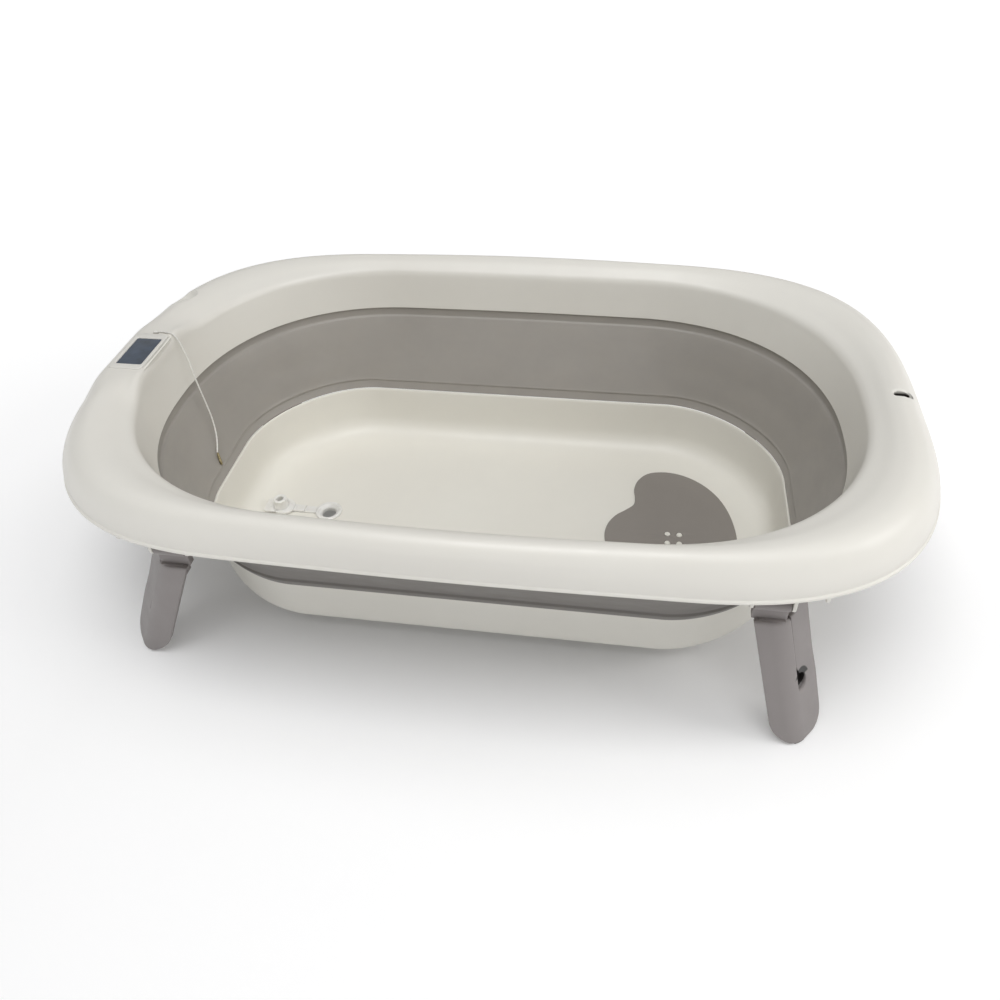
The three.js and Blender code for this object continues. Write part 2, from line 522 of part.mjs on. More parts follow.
const mirrored = (geometry, sx, sy) => {
  const g = geometry.clone();
  g.deleteAttribute('normal');
  g.deleteAttribute('uv');
  const m = mergeVertices(g, 1e-4);
  m.scale(sx, sy, 1);
  if (sx * sy < 0) {
    const ix = m.index.array;
    for (let i = 0; i < ix.length; i += 3) [ix[i + 1], ix[i + 2]] = [ix[i + 2], ix[i + 1]];
  }
  return m;
};
const pin = cylX(cheekXs[0][0] - 0.8, cheekXs[1][1] + 0.8, -LEG.axisY, LEG.axisZ, LEG.pinR, 16);
for (const [tag, sx, sy] of [['near_right', 1, 1], ['near_left', -1, 1], ['far_right', 1, -1], ['far_left', -1, -1]]) {
  const V = sx > 0 ? LEG.right : LEG.left;
  add(`leg_${tag}`, mirrored(geometryOf(legSolid(V)), sx, sy), finish.leg());
  add(`foot_sole_${tag}`, mirrored(soleGeometry(V), sx, sy), finish.rubber());
  add(`hinge_pin_${tag}`, mirrored(pin, sx, sy), finish.steel());
}

export default group;
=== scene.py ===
import math

import bmesh
import bpy
import numpy as np
from mathutils import Matrix, Vector


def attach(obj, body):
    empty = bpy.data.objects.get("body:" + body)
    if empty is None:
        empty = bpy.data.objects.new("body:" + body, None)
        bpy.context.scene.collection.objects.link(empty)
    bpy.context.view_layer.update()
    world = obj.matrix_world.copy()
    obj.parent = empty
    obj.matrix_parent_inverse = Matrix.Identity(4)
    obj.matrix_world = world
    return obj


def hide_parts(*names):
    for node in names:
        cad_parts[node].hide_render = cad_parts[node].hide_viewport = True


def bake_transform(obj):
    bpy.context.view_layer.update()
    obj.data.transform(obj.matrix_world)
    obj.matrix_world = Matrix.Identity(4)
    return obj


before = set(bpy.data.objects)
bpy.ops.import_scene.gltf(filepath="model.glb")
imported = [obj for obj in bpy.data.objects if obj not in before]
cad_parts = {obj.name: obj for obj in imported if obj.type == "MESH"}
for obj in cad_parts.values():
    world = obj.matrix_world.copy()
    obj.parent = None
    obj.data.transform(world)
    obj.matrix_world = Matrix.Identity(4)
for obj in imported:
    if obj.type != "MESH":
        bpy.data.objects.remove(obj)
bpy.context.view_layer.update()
SC = bpy.context.scene
MM = 0.001
V3 = Vector

# ------------------------------------------------------------------ camera
CAM_POS = V3((0.13099, -0.68402, 0.69476))
AZ, EL, ROLL = math.radians(10.8927), math.radians(42.0752), math.radians(-2.9199)
back = V3((math.sin(AZ) * math.cos(EL), -math.cos(AZ) * math.cos(EL), math.sin(EL)))
right = V3((math.cos(AZ), math.sin(AZ), 0.0))
up = right.cross(-back)
r2 = math.cos(ROLL) * right + math.sin(ROLL) * up
u2 = -math.sin(ROLL) * right + math.cos(ROLL) * up
cam_data = bpy.data.cameras.new("camera")
cam = bpy.data.objects.new("camera", cam_data)
SC.collection.objects.link(cam)
rot = Matrix((r2, u2, back)).transposed()
cam.matrix_world = Matrix.Translation(CAM_POS) @ rot.to_4x4()
cam_data.sensor_width = 36.0
cam_data.sensor_fit = "HORIZONTAL"
cam_data.lens = 843.2167 / 1000.0 * 36.0
cam_data.shift_x = 0.00189
cam_data.shift_y = -0.00008
cam_data.clip_start = 0.01
cam_data.clip_end = 60.0
SC.camera = cam

# ------------------------------------------------------------------ materials


def _nodes(name):
    m = bpy.data.materials.new(name)
    m.use_nodes = True
    nt = m.node_tree
    nt.nodes.clear()
    out = nt.nodes.new("ShaderNodeOutputMaterial")
    bsdf = nt.nodes.new("ShaderNodeBsdfPrincipled")
    nt.links.new(bsdf.outputs[0], out.inputs["Surface"])
    co = nt.nodes.new("ShaderNodeTexCoord")
    return m, nt, bsdf, co


def _noise(nt, co, scale, detail=3.0, rough=0.55, stretch=None, seed=0.0):
    n = nt.nodes.new("ShaderNodeTexNoise")
    n.inputs["Scale"].default_value = scale
    n.inputs["Detail"].default_value = detail
    n.inputs["Roughness"].default_value = rough
    mp = nt.nodes.new("ShaderNodeMapping")
    mp.inputs["Location"].default_value = (seed, seed * 0.7, -seed)
    if stretch:
        mp.inputs["Scale"].default_value = stretch
    nt.links.new(co.outputs["Object"], mp.inputs["Vector"])
    nt.links.new(mp.outputs[0], n.inputs["Vector"])
    return n.outputs["Fac"]


def _range(nt, fac, a, b, lo=0.3, hi=0.7):
    r = nt.nodes.new("ShaderNodeMapRange")
    r.inputs["From Min"].default_value = lo
    r.inputs["From Max"].default_value = hi
    r.inputs["To Min"].default_value = a
    r.inputs["To Max"].default_value = b
    nt.links.new(fac, r.inputs["Value"])
    return r.outputs[0]


def _mix(nt, fac, a, b):
    m = nt.nodes.new("ShaderNodeMix")
    m.data_type = "RGBA"
    m.clamp_factor = True
    for sock, val in ((m.inputs[6], a), (m.inputs[7], b)):
        if hasattr(val, "default_value"):
            nt.links.new(val, sock)
        else:
            sock.default_value = (*val, 1.0)
    if hasattr(fac, "default_value"):
        nt.links.new(fac, m.inputs[0])
    else:
        m.inputs[0].default_value = fac
    return m.outputs[2]


def _bump(nt, bsdf, layers):
    """layers: list of (height socket, strength, distance in metres)."""
    prev = None
    for fac, strength, dist in layers:
        b = nt.nodes.new("ShaderNodeBump")
        b.inputs["Strength"].default_value = strength
        b.inputs["Distance"].default_value = dist
        nt.links.new(fac, b.inputs["Height"])
        if prev is not None:
            nt.links.new(prev, b.inputs["Normal"])
        prev = b.outputs[0]
    nt.links.new(prev, bsdf.inputs["Normal"])


def scaled(c, k):
    return tuple(max(0.0, min(1.0, x * k)) for x in c)


def plastic(name, color, rough, var=0.03, warm=0.0, rough_var=0.05, grain=1500.0, grain_h=0.00003,
            flow_h=0.00012, spec=0.5, wear=0.0, sss=0.0, seed=1.0, speck=0.0, coat=0.0, shade=None):
    """Moulded plastic: slow colour drift, a faint flow ripple, spark-eroded grain and polish along the edges."""
    m, nt, bsdf, co = _nodes(name)
    slow = _noise(nt, co, 5.0, 3.0, 0.6, seed=seed)
    mid = _noise(nt, co, 42.0, 4.0, 0.6, seed=seed + 3)
    fine = _noise(nt, co, grain, 2.0, 0.5, seed=seed + 5)
    c_lo = scaled((color[0] * (1 + warm), color[1], color[2] * (1 - warm)), 1 - var)
    c_hi = scaled(color, 1 + var * 0.7)
    col = _mix(nt, _range(nt, slow, 0.0, 1.0), c_lo, c_hi)
    col = _mix(nt, _range(nt, mid, 0.0, 0.35, 0.35, 0.75), col, scaled(color, 1 - var * 1.3))
    if speck:
        dots = _noise(nt, co, grain * 0.55, 1.0, 0.4, seed=seed + 9)
        col = _mix(nt, _range(nt, dots, 0.0, speck, 0.62, 0.78), col, scaled(color, 0.72))
    if wear:
        geo = nt.nodes.new("ShaderNodeNewGeometry")
        edge = _range(nt, geo.outputs["Pointiness"], 0.0, wear, 0.51, 0.58)
        col = _mix(nt, edge, col, scaled(color, 1.22))
    nt.links.new(col, bsdf.inputs["Base Color"])
    rs = _range(nt, mid, max(0.02, rough - rough_var), min(1.0, rough + rough_var))
    nt.links.new(rs, bsdf.inputs["Roughness"])
    bsdf.inputs["Specular IOR Level"].default_value = spec
    if sss:
        bsdf.inputs["Subsurface Weight"].default_value = sss
        bsdf.inputs["Subsurface Radius"].default_value = (0.9, 0.8, 0.65)
        bsdf.inputs["Subsurface Scale"].default_value = 0.004
    if coat:
        bsdf.inputs["Coat Weight"].default_value = coat
        bsdf.inputs["Coat Roughness"].default_value = 0.12
    if shade is not None:
        # shade carried in the colour: the deep part of a small opening, below a height and within a radius of a point
        cx, cy, rad, ztop = shade
        sep = nt.nodes.new("ShaderNodeSeparateXYZ")
        nt.links.new(co.outputs["Object"], sep.inputs[0])
        off = nt.nodes.new("ShaderNodeVectorMath")
        off.operation = "SUBTRACT"
        off.inputs[1].default_value = (cx, cy, 0.0)
        nt.links.new(co.outputs["Object"], off.inputs[0])
        flat = nt.nodes.new("ShaderNodeVectorMath")
        flat.operation = "MULTIPLY"
        flat.inputs[1].default_value = (0.62, 1.0, 0.0)
        nt.links.new(off.outputs[0], flat.inputs[0])
        ln = nt.nodes.new("ShaderNodeVectorMath")
        ln.operation = "LENGTH"
        nt.links.new(flat.outputs[0], ln.inputs[0])
        near = _range(nt, ln.outputs["Value"], 1.0, 0.0, rad, rad * 1.15)
        deep = _range(nt, sep.outputs["Z"], 1.0, 0.0, ztop - 0.0025, ztop)
        both = nt.nodes.new("ShaderNodeMath")
        both.operation = "MULTIPLY"
        nt.links.new(near, both.inputs[0])
        nt.links.new(deep, both.inputs[1])
        dark = _mix(nt, both.outputs[0], col, (0.016, 0.011, 0.009))
        nt.links.new(dark, bsdf.inputs["Base Color"])
    flow = _noise(nt, co, 26.0, 2.0, 0.45, seed=seed + 11)
    _bump(nt, bsdf, [(flow, 0.35, flow_h), (fine, 0.6, grain_h)])
    m.diffuse_color = (*color, 1)
    return m


def recess(mat, centre, inward, rad, d0, d1, color=(0.012, 0.010, 0.009)):
    """Shade carried in the colour: darkens what lies behind a point on the +X side, the same for near and far."""
    nt = mat.node_tree
    bsdf = next(n for n in nt.nodes if n.type == "BSDF_PRINCIPLED")
    col = bsdf.inputs["Base Color"].links[0].from_socket
    co = nt.nodes.new("ShaderNodeTexCoord")
    sep = nt.nodes.new("ShaderNodeSeparateXYZ")
    nt.links.new(co.outputs["Object"], sep.inputs[0])
    ab = nt.nodes.new("ShaderNodeMath")
    ab.operation = "ABSOLUTE"
    nt.links.new(sep.outputs["Y"], ab.inputs[0])
    comb = nt.nodes.new("ShaderNodeCombineXYZ")
    nt.links.new(sep.outputs["X"], comb.inputs[0])
    nt.links.new(ab.outputs[0], comb.inputs[1])
    nt.links.new(sep.outputs["Z"], comb.inputs[2])
    off = nt.nodes.new("ShaderNodeVectorMath")
    off.operation = "SUBTRACT"
    nt.links.new(comb.outputs[0], off.inputs[0])
    off.inputs[1].default_value = centre
    ln = nt.nodes.new("ShaderNodeVectorMath")
    ln.operation = "LENGTH"
    low = nt.nodes.new("ShaderNodeVectorMath")
    low.operation = "MULTIPLY"
    low.inputs[1].default_value = (1.0, 1.0, 0.62)
    nt.links.new(off.outputs[0], low.inputs[0])
    nt.links.new(low.outputs[0], ln.inputs[0])
    dot = nt.nodes.new("ShaderNodeVectorMath")
    dot.operation = "DOT_PRODUCT"
    nt.links.new(off.outputs[0], dot.inputs[0])
    dot.inputs[1].default_value = inward
    both = nt.nodes.new("ShaderNodeMath")
    both.operation = "MULTIPLY"
    nt.links.new(_range(nt, ln.outputs["Value"], 1.0, 0.0, rad, rad * 1.1), both.inputs[0])
    nt.links.new(_range(nt, dot.outputs["Value"], 0.0, 1.0, d0, d1), both.inputs[1])
    nt.links.new(_mix(nt, both.outputs[0], col, color), bsdf.inputs["Base Color"])


def soft_rubber(name, color, rough, var=0.05, seed=2.0, mottling=0.25, grain=1100.0, outside=1.0):
    """Thermoplastic rubber: matt, dusty drift in the colour and a soft orange-peel skin."""
    m, nt, bsdf, co = _nodes(name)
    slow = _noise(nt, co, 9.0, 4.0, 0.65, seed=seed)
    blotch = _noise(nt, co, 30.0, 5.0, 0.6, stretch=(1, 1, 2.2), seed=seed + 4)
    fine = _noise(nt, co, grain, 2.0, 0.55, seed=seed + 6)
    peel = _noise(nt, co, 260.0, 2.0, 0.5, seed=seed + 8)
    col = _mix(nt, _range(nt, slow, 0.0, 1.0), scaled(color, 1 - var), scaled(color, 1 + var))
    col = _mix(nt, _range(nt, blotch, 0.0, mottling, 0.45, 0.75), col, scaled((color[0] * 1.02, color[1] * 0.99, color[2] * 0.95), 1 + var * 1.6))
    nt.links.new(col, bsdf.inputs["Base Color"])
    if outside < 1.0:
        # shade under the rim carried in the colour: the outside is drawn darker than the inside
        at = nt.nodes.new("ShaderNodeAttribute")
        at.attribute_name = "outside"
        col = _mix(nt, _range(nt, at.outputs["Fac"], 0.0, 1.0, 0.0, 1.0), col, scaled((color[0], color[1] * 0.985, color[2] * 0.985), outside))
    nt.links.new(col, bsdf.inputs["Base Color"])
    nt.links.new(_range(nt, blotch, rough + 0.07, rough - 0.09), bsdf.inputs["Roughness"])
    bsdf.inputs["Specular IOR Level"].default_value = 0.42
    bsdf.inputs["Sheen Weight"].default_value = 0.12
    bsdf.inputs["Sheen Roughness"].default_value = 0.5
    _bump(nt, bsdf, [(peel, 0.25, 0.00012), (fine, 0.5, 0.00004)])
    m.diffuse_color = (*color, 1)
    return m


def silicone_mat(name, color):
    m, nt, bsdf, co = _nodes(name)
    slow = _noise(nt, co, 60.0, 3.0, 0.6, seed=4.2)
    fine = _noise(nt, co, 1400.0, 2.0, 0.5, seed=1.7)
    nt.links.new(_mix(nt, _range(nt, slow, 0.0, 1.0), scaled(color, 0.96), scaled(color, 1.03)), bsdf.inputs["Base Color"])
    nt.links.new(_range(nt, slow, 0.26, 0.38), bsdf.inputs["Roughness"])
    bsdf.inputs["Subsurface Weight"].default_value = 0.35
    bsdf.inputs["Subsurface Radius"].default_value = (0.9, 0.9, 0.85)
    bsdf.inputs["Subsurface Scale"].default_value = 0.004
    bsdf.inputs["Specular IOR Level"].default_value = 0.5
    _bump(nt, bsdf, [(slow, 0.2, 0.0002), (fine, 0.4, 0.00003)])
    m.diffuse_color = (*color, 1)
    return m


def metal(name, color, rough, brushed=(1, 1, 1), seed=3.0, grain=900.0):
    m, nt, bsdf, co = _nodes(name)
    line = _noise(nt, co, grain, 3.0, 0.6, stretch=brushed, seed=seed)
    slow = _noise(nt, co, 90.0, 3.0, 0.6, seed=seed + 2)
    nt.links.new(_mix(nt, _range(nt, slow, 0.0, 1.0), scaled(color, 0.86), scaled(color, 1.08)), bsdf.inputs["Base Color"])
    nt.links.new(_range(nt, line, rough - 0.08, rough + 0.12), bsdf.inputs["Roughness"])
    bsdf.inputs["Metallic"].default_value = 1.0
    _bump(nt, bsdf, [(line, 0.35, 0.00003)])
    m.diffuse_color = (*color, 1)
    return m


def smoked_glass(name, color):
    m, nt, bsdf, co = _nodes(name)
    slow = _noise(nt, co, 55.0, 4.0, 0.6, seed=8.0)
    film = _noise(nt, co, 420.0, 3.0, 0.6, seed=2.0)
    nt.links.new(_mix(nt, _range(nt, slow, 0.0, 1.0), color, scaled((color[0] * 1.15, color[1] * 1.2, color[2] * 1.35), 1.25)), bsdf.inputs["Base Color"])
    nt.links.new(_range(nt, film, 0.10, 0.2), bsdf.inputs["Roughness"])
    bsdf.inputs["Specular IOR Level"].default_value = 0.5
    bsdf.inputs["Coat Weight"].default_value = 0.5
    bsdf.inputs["Coat Roughness"].default_value = 0.08
    _bump(nt, bsdf, [(film, 0.15, 0.00002)])
    m.diffuse_color = (*color, 1)
    return m


def board_mat(name, color):
    """Solder mask with faint copper tracks under it."""
    m, nt, bsdf, co = _nodes(name)
    br = nt.nodes.new("ShaderNodeTexBrick")
    br.inputs["Scale"].default_value = 260.0
    br.inputs["Mortar Size"].default_value = 0.06
    br.inputs["Color1"].default_value = (*color, 1)
    br.inputs["Color2"].default_value = (*scaled(color, 1.25), 1)
    br.inputs["Mortar"].default_value = (*scaled((color[0] + 0.08, color[1] + 0.06, color[2]), 1.1), 1)
    nt.links.new(co.outputs["Object"], br.inputs["Vector"])
    nt.links.new(br.outputs["Color"], bsdf.inputs["Base Color"])
    slow = _noise(nt, co, 300.0, 2.0)
    nt.links.new(_range(nt, slow, 0.28, 0.5), bsdf.inputs["Roughness"])
    _bump(nt, bsdf, [(br.outputs["Fac"], 0.4, 0.00003)])
    return m


MAT = {
    "cream": plastic("cream_polypropylene", (0.770, 0.752, 0.700), 0.40, var=0.022, warm=0.006, wear=0.10, seed=1.0, speck=0.0, shade=(0.379, -0.003, 0.0062, 0.2372)),
    "base": plastic("cream_polypropylene_base", (0.800, 0.782, 0.718), 0.42, var=0.022, warm=0.006, wear=0.08, seed=6.0),
    "grey": soft_rubber("grey_soft_rubber", (0.330, 0.310, 0.283), 0.50, outside=0.52),
    "pad": soft_rubber("grey_pad_rubber", (0.262, 0.240, 0.218), 0.62, var=0.03, mottling=0.12, seed=7.0),
    "leg": plastic("warm_grey_polypropylene", (0.262, 0.238, 0.232), 0.44, var=0.03, wear=0.14, grain=1300.0, grain_h=0.00004, seed=9.0),
    "bezel": plastic("bezel_plastic", (0.735, 0.718, 0.672), 0.36, var=0.02, wear=0.1, seed=13.0, flow_h=0.00002),
    "white": plastic("white_sheath", (0.78, 0.765, 0.725), 0.42, var=0.04, seed=17.0, flow_h=0.00001, grain=2500.0),
    "silicone": silicone_mat("milky_silicone", (0.80, 0.79, 0.755)),
    "window": smoked_glass("smoked_cover", (0.055, 0.068, 0.085)),
    "lcd": smoked_glass("display_glass", (0.10, 0.115, 0.12)),
    "steel": metal("ground_steel", (0.62, 0.62, 0.63), 0.28, (0.05, 1, 1)),
    "nickel": metal("nickel_strip", (0.60, 0.58, 0.53), 0.32, (1, 0.1, 1), seed=5.0),
    "brass": metal("satin_brass", (0.36, 0.30, 0.17), 0.36, (1, 1, 0.2), seed=6.0),
    "rubber": soft_rubber("sole_rubber", (0.16, 0.148, 0.138), 0.78, seed=11.0),
    "board": board_mat("solder_mask", (0.03, 0.13, 0.06)),
}

recess(MAT["leg"], (0.3022, 0.2105, 0.0735), (-0.783, -0.622, 0.0), 0.0098, 0.0016, 0.0021)

# ------------------------------------------------------------------ mesh helpers


def link(name, me):
    o = bpy.data.objects.new(name, me)
    SC.collection.objects.link(o)
    return o


def finish_mesh(me, angle=35.0, mat=None):
    bm = bmesh.new()
    bm.from_mesh(me)
    bmesh.ops.recalc_face_normals(bm, faces=bm.faces)
    bm.to_mesh(me)
    bm.free()
    me.polygons.foreach_set("use_smooth", [True] * len(me.polygons))
    me.update()
    me.set_sharp_from_angle(angle=math.radians(angle))
    if mat is not None:
        me.materials.clear()
        me.materials.append(mat)
    return me


def mesh_from(name, verts, faces):
    me = bpy.data.meshes.new(name)
    me.from_pydata([tuple(v) for v in verts], [], [tuple(f) for f in faces])
    me.update()
    return me


def grid_faces(rows, n, wrap_rows, offset=0):
    j = np.arange(n)
    jn = (j + 1) % n
    out = []
    for i in range(rows if wrap_rows else rows - 1):
        k = (i + 1) % rows
        out.append(np.stack([offset + i * n + j, offset + i * n + jn, offset + k * n + jn, offset + k * n + j], 1))
    return np.concatenate(out)


def loft(name, rows, wrap=False, cap_start=False, cap_end=False):
    """rows: list of (n, 3) arrays in metres."""
    n = len(rows[0])
    verts = np.concatenate(rows)
    faces = grid_faces(len(rows), n, wrap).tolist()
    if cap_start:
        faces.append(list(range(n))[::-1])
    if cap_end:
        faces.append([(len(rows) - 1) * n + j for j in range(n)])
    return mesh_from(name, verts, faces)


def joined(name, meshes):
    """One mesh out of several closed bodies."""
    verts, faces, base = [], [], 0
    for me in meshes:
        co = np.empty(len(me.vertices) * 3)
        me.vertices.foreach_get("co", co)
        verts.append(co.reshape(-1, 3))
        for p in me.polygons:
            faces.append([base + v for v in p.vertices])
        base += len(me.vertices)
    out = mesh_from(name, np.concatenate(verts), faces)
    for me in meshes:
        bpy.data.meshes.remove(me)
    return out


def cut(me, cutter_me, op="DIFFERENCE"):
    """Boolean of two meshes, returning a new mesh."""
    a = link("tmp_a", me)
    b = link("tmp_b", cutter_me)
    mod = a.modifiers.new("b", "BOOLEAN")
    mod.object = b
    mod.operation = op
    mod.solver = "EXACT"
    bpy.context.view_layer.update()
    dg = bpy.context.evaluated_depsgraph_get()
    res = bpy.data.meshes.new_from_object(a.evaluated_get(dg))
    bpy.data.objects.remove(a)
    bpy.data.objects.remove(b)
    bpy.data.meshes.remove(cutter_me)
    return res


def orient(me):
    bm = bmesh.new()
    bm.from_mesh(me)
    bmesh.ops.recalc_face_normals(bm, faces=bm.faces)
    if bm.calc_volume(signed=True) < 0:
        bmesh.ops.reverse_faces(bm, faces=bm.faces)
    bm.to_mesh(me)
    bm.free()
    me.update()
    return me


def smoothstep(x, a, b):
    t = np.clip((np.asarray(x, float) - a) / (b - a), 0, 1)
    return t * t * (3 - 2 * t)


def spline(keys, spacing):
    """Centripetal Catmull-Rom through rows of numbers; spacing: list of target steps per span, in the first three columns."""
    K = np.asarray(keys, float)
    n = len(K)
    out = []
    P = np.vstack([2 * K[0] - K[1], K, 2 * K[-1] - K[-2]])
    for i in range(n - 1):
        p0, p1, p2, p3 = P[i], P[i + 1], P[i + 2], P[i + 3]

        def dist(a, b):
            return max(1e-4, math.hypot(a[0] - b[0], a[2] - b[2])) ** 0.5

        t0, t1 = 0.0, dist(p0, p1)
        t2 = t1 + dist(p1, p2)
        t3 = t2 + dist(p2, p3)
        steps = max(1, int(round(math.hypot(p1[0] - p2[0], p1[2] - p2[2]) / spacing[i])))
        for k in range(steps):
            t = t1 + (t2 - t1) * k / steps
            a1 = (t1 - t) / (t1 - t0) * p0 + (t - t0) / (t1 - t0) * p1
            a2 = (t2 - t) / (t2 - t1) * p1 + (t - t1) / (t2 - t1) * p2
            a3 = (t3 - t) / (t3 - t2) * p2 + (t - t2) / (t3 - t2) * p3
            b1 = (t2 - t) / (t2 - t0) * a1 + (t - t0) / (t2 - t0) * a2
            b2 = (t3 - t) / (t3 - t1) * a2 + (t - t1) / (t3 - t1) * a3
            out.append((t2 - t) / (t2 - t1) * b1 + (t - t1) / (t2 - t1) * b2)
    out.append(K[-1])
    return np.array(out)


# Outline of a rounded rectangle with superellipse corners. w runs 0..8: even sections are corners, odd ones sides.
CORNERS = {0: (1, 1, False), 2: (-1, 1, True), 4: (-1, -1, False), 6: (1, -1, True)}


def outline(w, a, b, r, e, bow=0.0):
    rr = min(r, b - 2, a - 2)
    cx, cy = a - rr, b - rr
    k = np.floor(w).astype(int) % 8
    f = w - np.floor(w)
    x = np.zeros(len(w))
    y = np.zeros(len(w))
    for sec, (sx, sy, rev) in CORNERS.items():
        m = k == sec
        t = (1 - f[m] if rev else f[m]) * math.pi / 2
        x[m] = sx * (cx + rr * np.maximum(0, np.cos(t)) ** (2 / e))
        y[m] = sy * (cy + rr * np.maximum(0, np.sin(t)) ** (2 / e))
    for sec, p, q in ((1, (cx, b), (-cx, b)), (3, (-a, cy), (-a, -cy)), (5, (-cx, -b), (cx, -b)), (7, (a, -cy), (a, cy))):
        m = k == sec
        x[m] = p[0] + (q[0] - p[0]) * f[m]
        y[m] = p[1] + (q[1] - p[1]) * f[m]
    return x, y + np.sign(y) * bow * (np.abs(y) / b) ** 2 * np.cos(math.pi * x / 330)


def samples(ref, spacing):
    """w values round the reference outline with the wanted spacing, a function of x and y in mm."""
    w = np.linspace(0, 8, 60001)
    x, y = outline(w, *ref)
    x[-1], y[-1] = x[0], y[0]
    seg = np.hypot(np.diff(x), np.diff(y))
    mx, my = (x[1:] + x[:-1]) / 2, (y[1:] + y[:-1]) / 2
    cum = np.concatenate([[0], np.cumsum(seg / spacing(mx, my))])
    n = int(math.ceil(cum[-1]))
    return np.interp(np.arange(n) * cum[-1] / n, cum, w)


def ring_row(w, key):
    a, b, z, r, e, bow = key[:6]
    x, y = outline(w, a, b, r, e, bow)
    return np.stack([x, y, np.full(len(w), z)], 1)


def rounded_rect(w, l, r, n):
    """Loop of n points round a w by l rectangle with corner radius r, centred on 0."""
    per = 2 * (w + l) - 8 * r + 2 * math.pi * r
    out = []
    segs = []
    hw, hl = w / 2, l / 2
    segs.append(("l", (hw, -hl + r), (hw, hl - r)))
    segs.append(("a", (hw - r, hl - r), 0.0))
    segs.append(("l", (hw - r, hl), (-hw + r, hl)))
    segs.append(("a", (-hw + r, hl - r), math.pi / 2))
    segs.append(("l", (-hw, hl - r), (-hw, -hl + r)))
    segs.append(("a", (-hw + r, -hl + r), math.pi))
    segs.append(("l", (-hw + r, -hl), (hw - r, -hl)))
    segs.append(("a", (hw - r, -hl + r), 1.5 * math.pi))
    dense = []
    for s in segs:
        for i in range(60):
            f = i / 60
            if s[0] == "l":
                dense.append((s[1][0] + (s[2][0] - s[1][0]) * f, s[1][1] + (s[2][1] - s[1][1]) * f))
            else:
                t = s[2] + f * math.pi / 2
                dense.append((s[1][0] + r * math.cos(t), s[1][1] + r * math.sin(t)))
    d = np.array(dense)
    seg = np.hypot(*(np.roll(d, -1, 0) - d).T)
    cum = np.concatenate([[0], np.cumsum(seg)])
    t = np.arange(n) * cum[-1] / n
    return np.stack([np.interp(t, cum, np.append(d[:, 0], d[0, 0])), np.interp(t, cum, np.append(d[:, 1], d[0, 1]))], 1)


def fillet_prism(name, loops_fn, z0, z1, rb, rt, n=96, steps=5, centre=(0, 0)):
    """Closed prism whose loop is loops_fn(inset, n), with rounded bottom and top edges, all in mm."""
    rows = []
    for k in range(steps + 1):
        t = math.pi / 2 * k / steps
        rows.append((rb * (1 - math.sin(t)), z0 + rb * (1 - math.cos(t))))
    for k in range(steps + 1):
        t = math.pi / 2 * k / steps
        rows.append((rt * (1 - math.cos(t)), z1 - rt * (1 - math.sin(t))))
    made = []
    for inset, z in rows:
        p = loops_fn(inset, n)
        made.append(np.column_stack([p[:, 0] + centre[0], p[:, 1] + centre[1], np.full(len(p), z)]) * MM)
    return loft(name, made, cap_start=True, cap_end=True)


def lathe(name, profile, centre, n=64, closed=True):
    """Closed [radius, z] loop in mm turned about a vertical axis."""
    t = np.arange(n) * 2 * math.pi / n
    rows = [np.stack([centre[0] + r * np.cos(t), centre[1] + r * np.sin(t), np.full(n, z)], 1) * MM for r, z in profile]
    return loft(name, rows, wrap=closed)


def round_profile(points, radii, steps=4):
    """Closed polygon with its corners rounded."""
    out = []
    n = len(points)
    for i in range(n):
        p0, p1, p2 = (np.array(points[(i + k) % n], float) for k in (-1, 0, 1))
        r = radii[i] if hasattr(radii, "__len__") else radii
        d0, d1 = p0 - p1, p2 - p1
        l0, l1 = np.linalg.norm(d0), np.linalg.norm(d1)
        d0, d1 = d0 / l0, d1 / l1
        ang = math.acos(max(-1, min(1, float(d0 @ d1))))
        if r < 1e-6 or ang > math.pi - 0.02:
            out.append(p1)
            continue
        cutlen = min(r / math.tan(ang / 2), l0 * 0.45, l1 * 0.45)
        rad = cutlen * math.tan(ang / 2)
        c = p1 + (d0 + d1) / np.linalg.norm(d0 + d1) * (rad / math.sin(ang / 2))
        a, b = p1 + d0 * cutlen - c, p1 + d1 * cutlen - c
        a0 = math.atan2(a[1], a[0])
        da = math.atan2(b[1], b[0]) - a0
        while da > math.pi:
            da -= 2 * math.pi
        while da < -math.pi:
            da += 2 * math.pi
        for k in range(steps + 1):
            t = a0 + da * k / steps
            out.append(c + rad * np.array([math.cos(t), math.sin(t)]))
    return [tuple(p) for p in out]


def plate(name, outlines, d0, d1, bevel, res=2):
    """Flat closed outlines in mm (the first is the edge, others are holes) given a thickness from d0 to d1 with rounded edges.
    The outline lies in x and y of the mesh, the thickness in z, all in mm."""
    cu = bpy.data.curves.new(name, "CURVE")
    cu.dimensions = "2D"
    cu.fill_mode = "BOTH"
    cu.extrude = (d1 - d0) / 2 - bevel
    cu.bevel_depth = bevel
    cu.bevel_resolution = res
    cu.offset = -bevel
    for pts in outlines:
        sp = cu.splines.new("POLY")
        sp.points.add(len(pts) - 1)
        for p, q in zip(sp.points, pts):
            p.co = (q[0], q[1], 0, 1)
        sp.use_cyclic_u = True
    o = link(name + "_c", cu)
    bpy.context.view_layer.update()
    me = bpy.data.meshes.new_from_object(o.evaluated_get(bpy.context.evaluated_depsgraph_get()))
    bpy.data.objects.remove(o)
    bpy.data.curves.remove(cu)
    bm = bmesh.new()
    bm.from_mesh(me)
    bmesh.ops.remove_doubles(bm, verts=bm.verts, dist=1e-3)
    for v in bm.verts:
        v.co.z += (d0 + d1) / 2
    bm.to_mesh(me)
    bm.free()
    return me


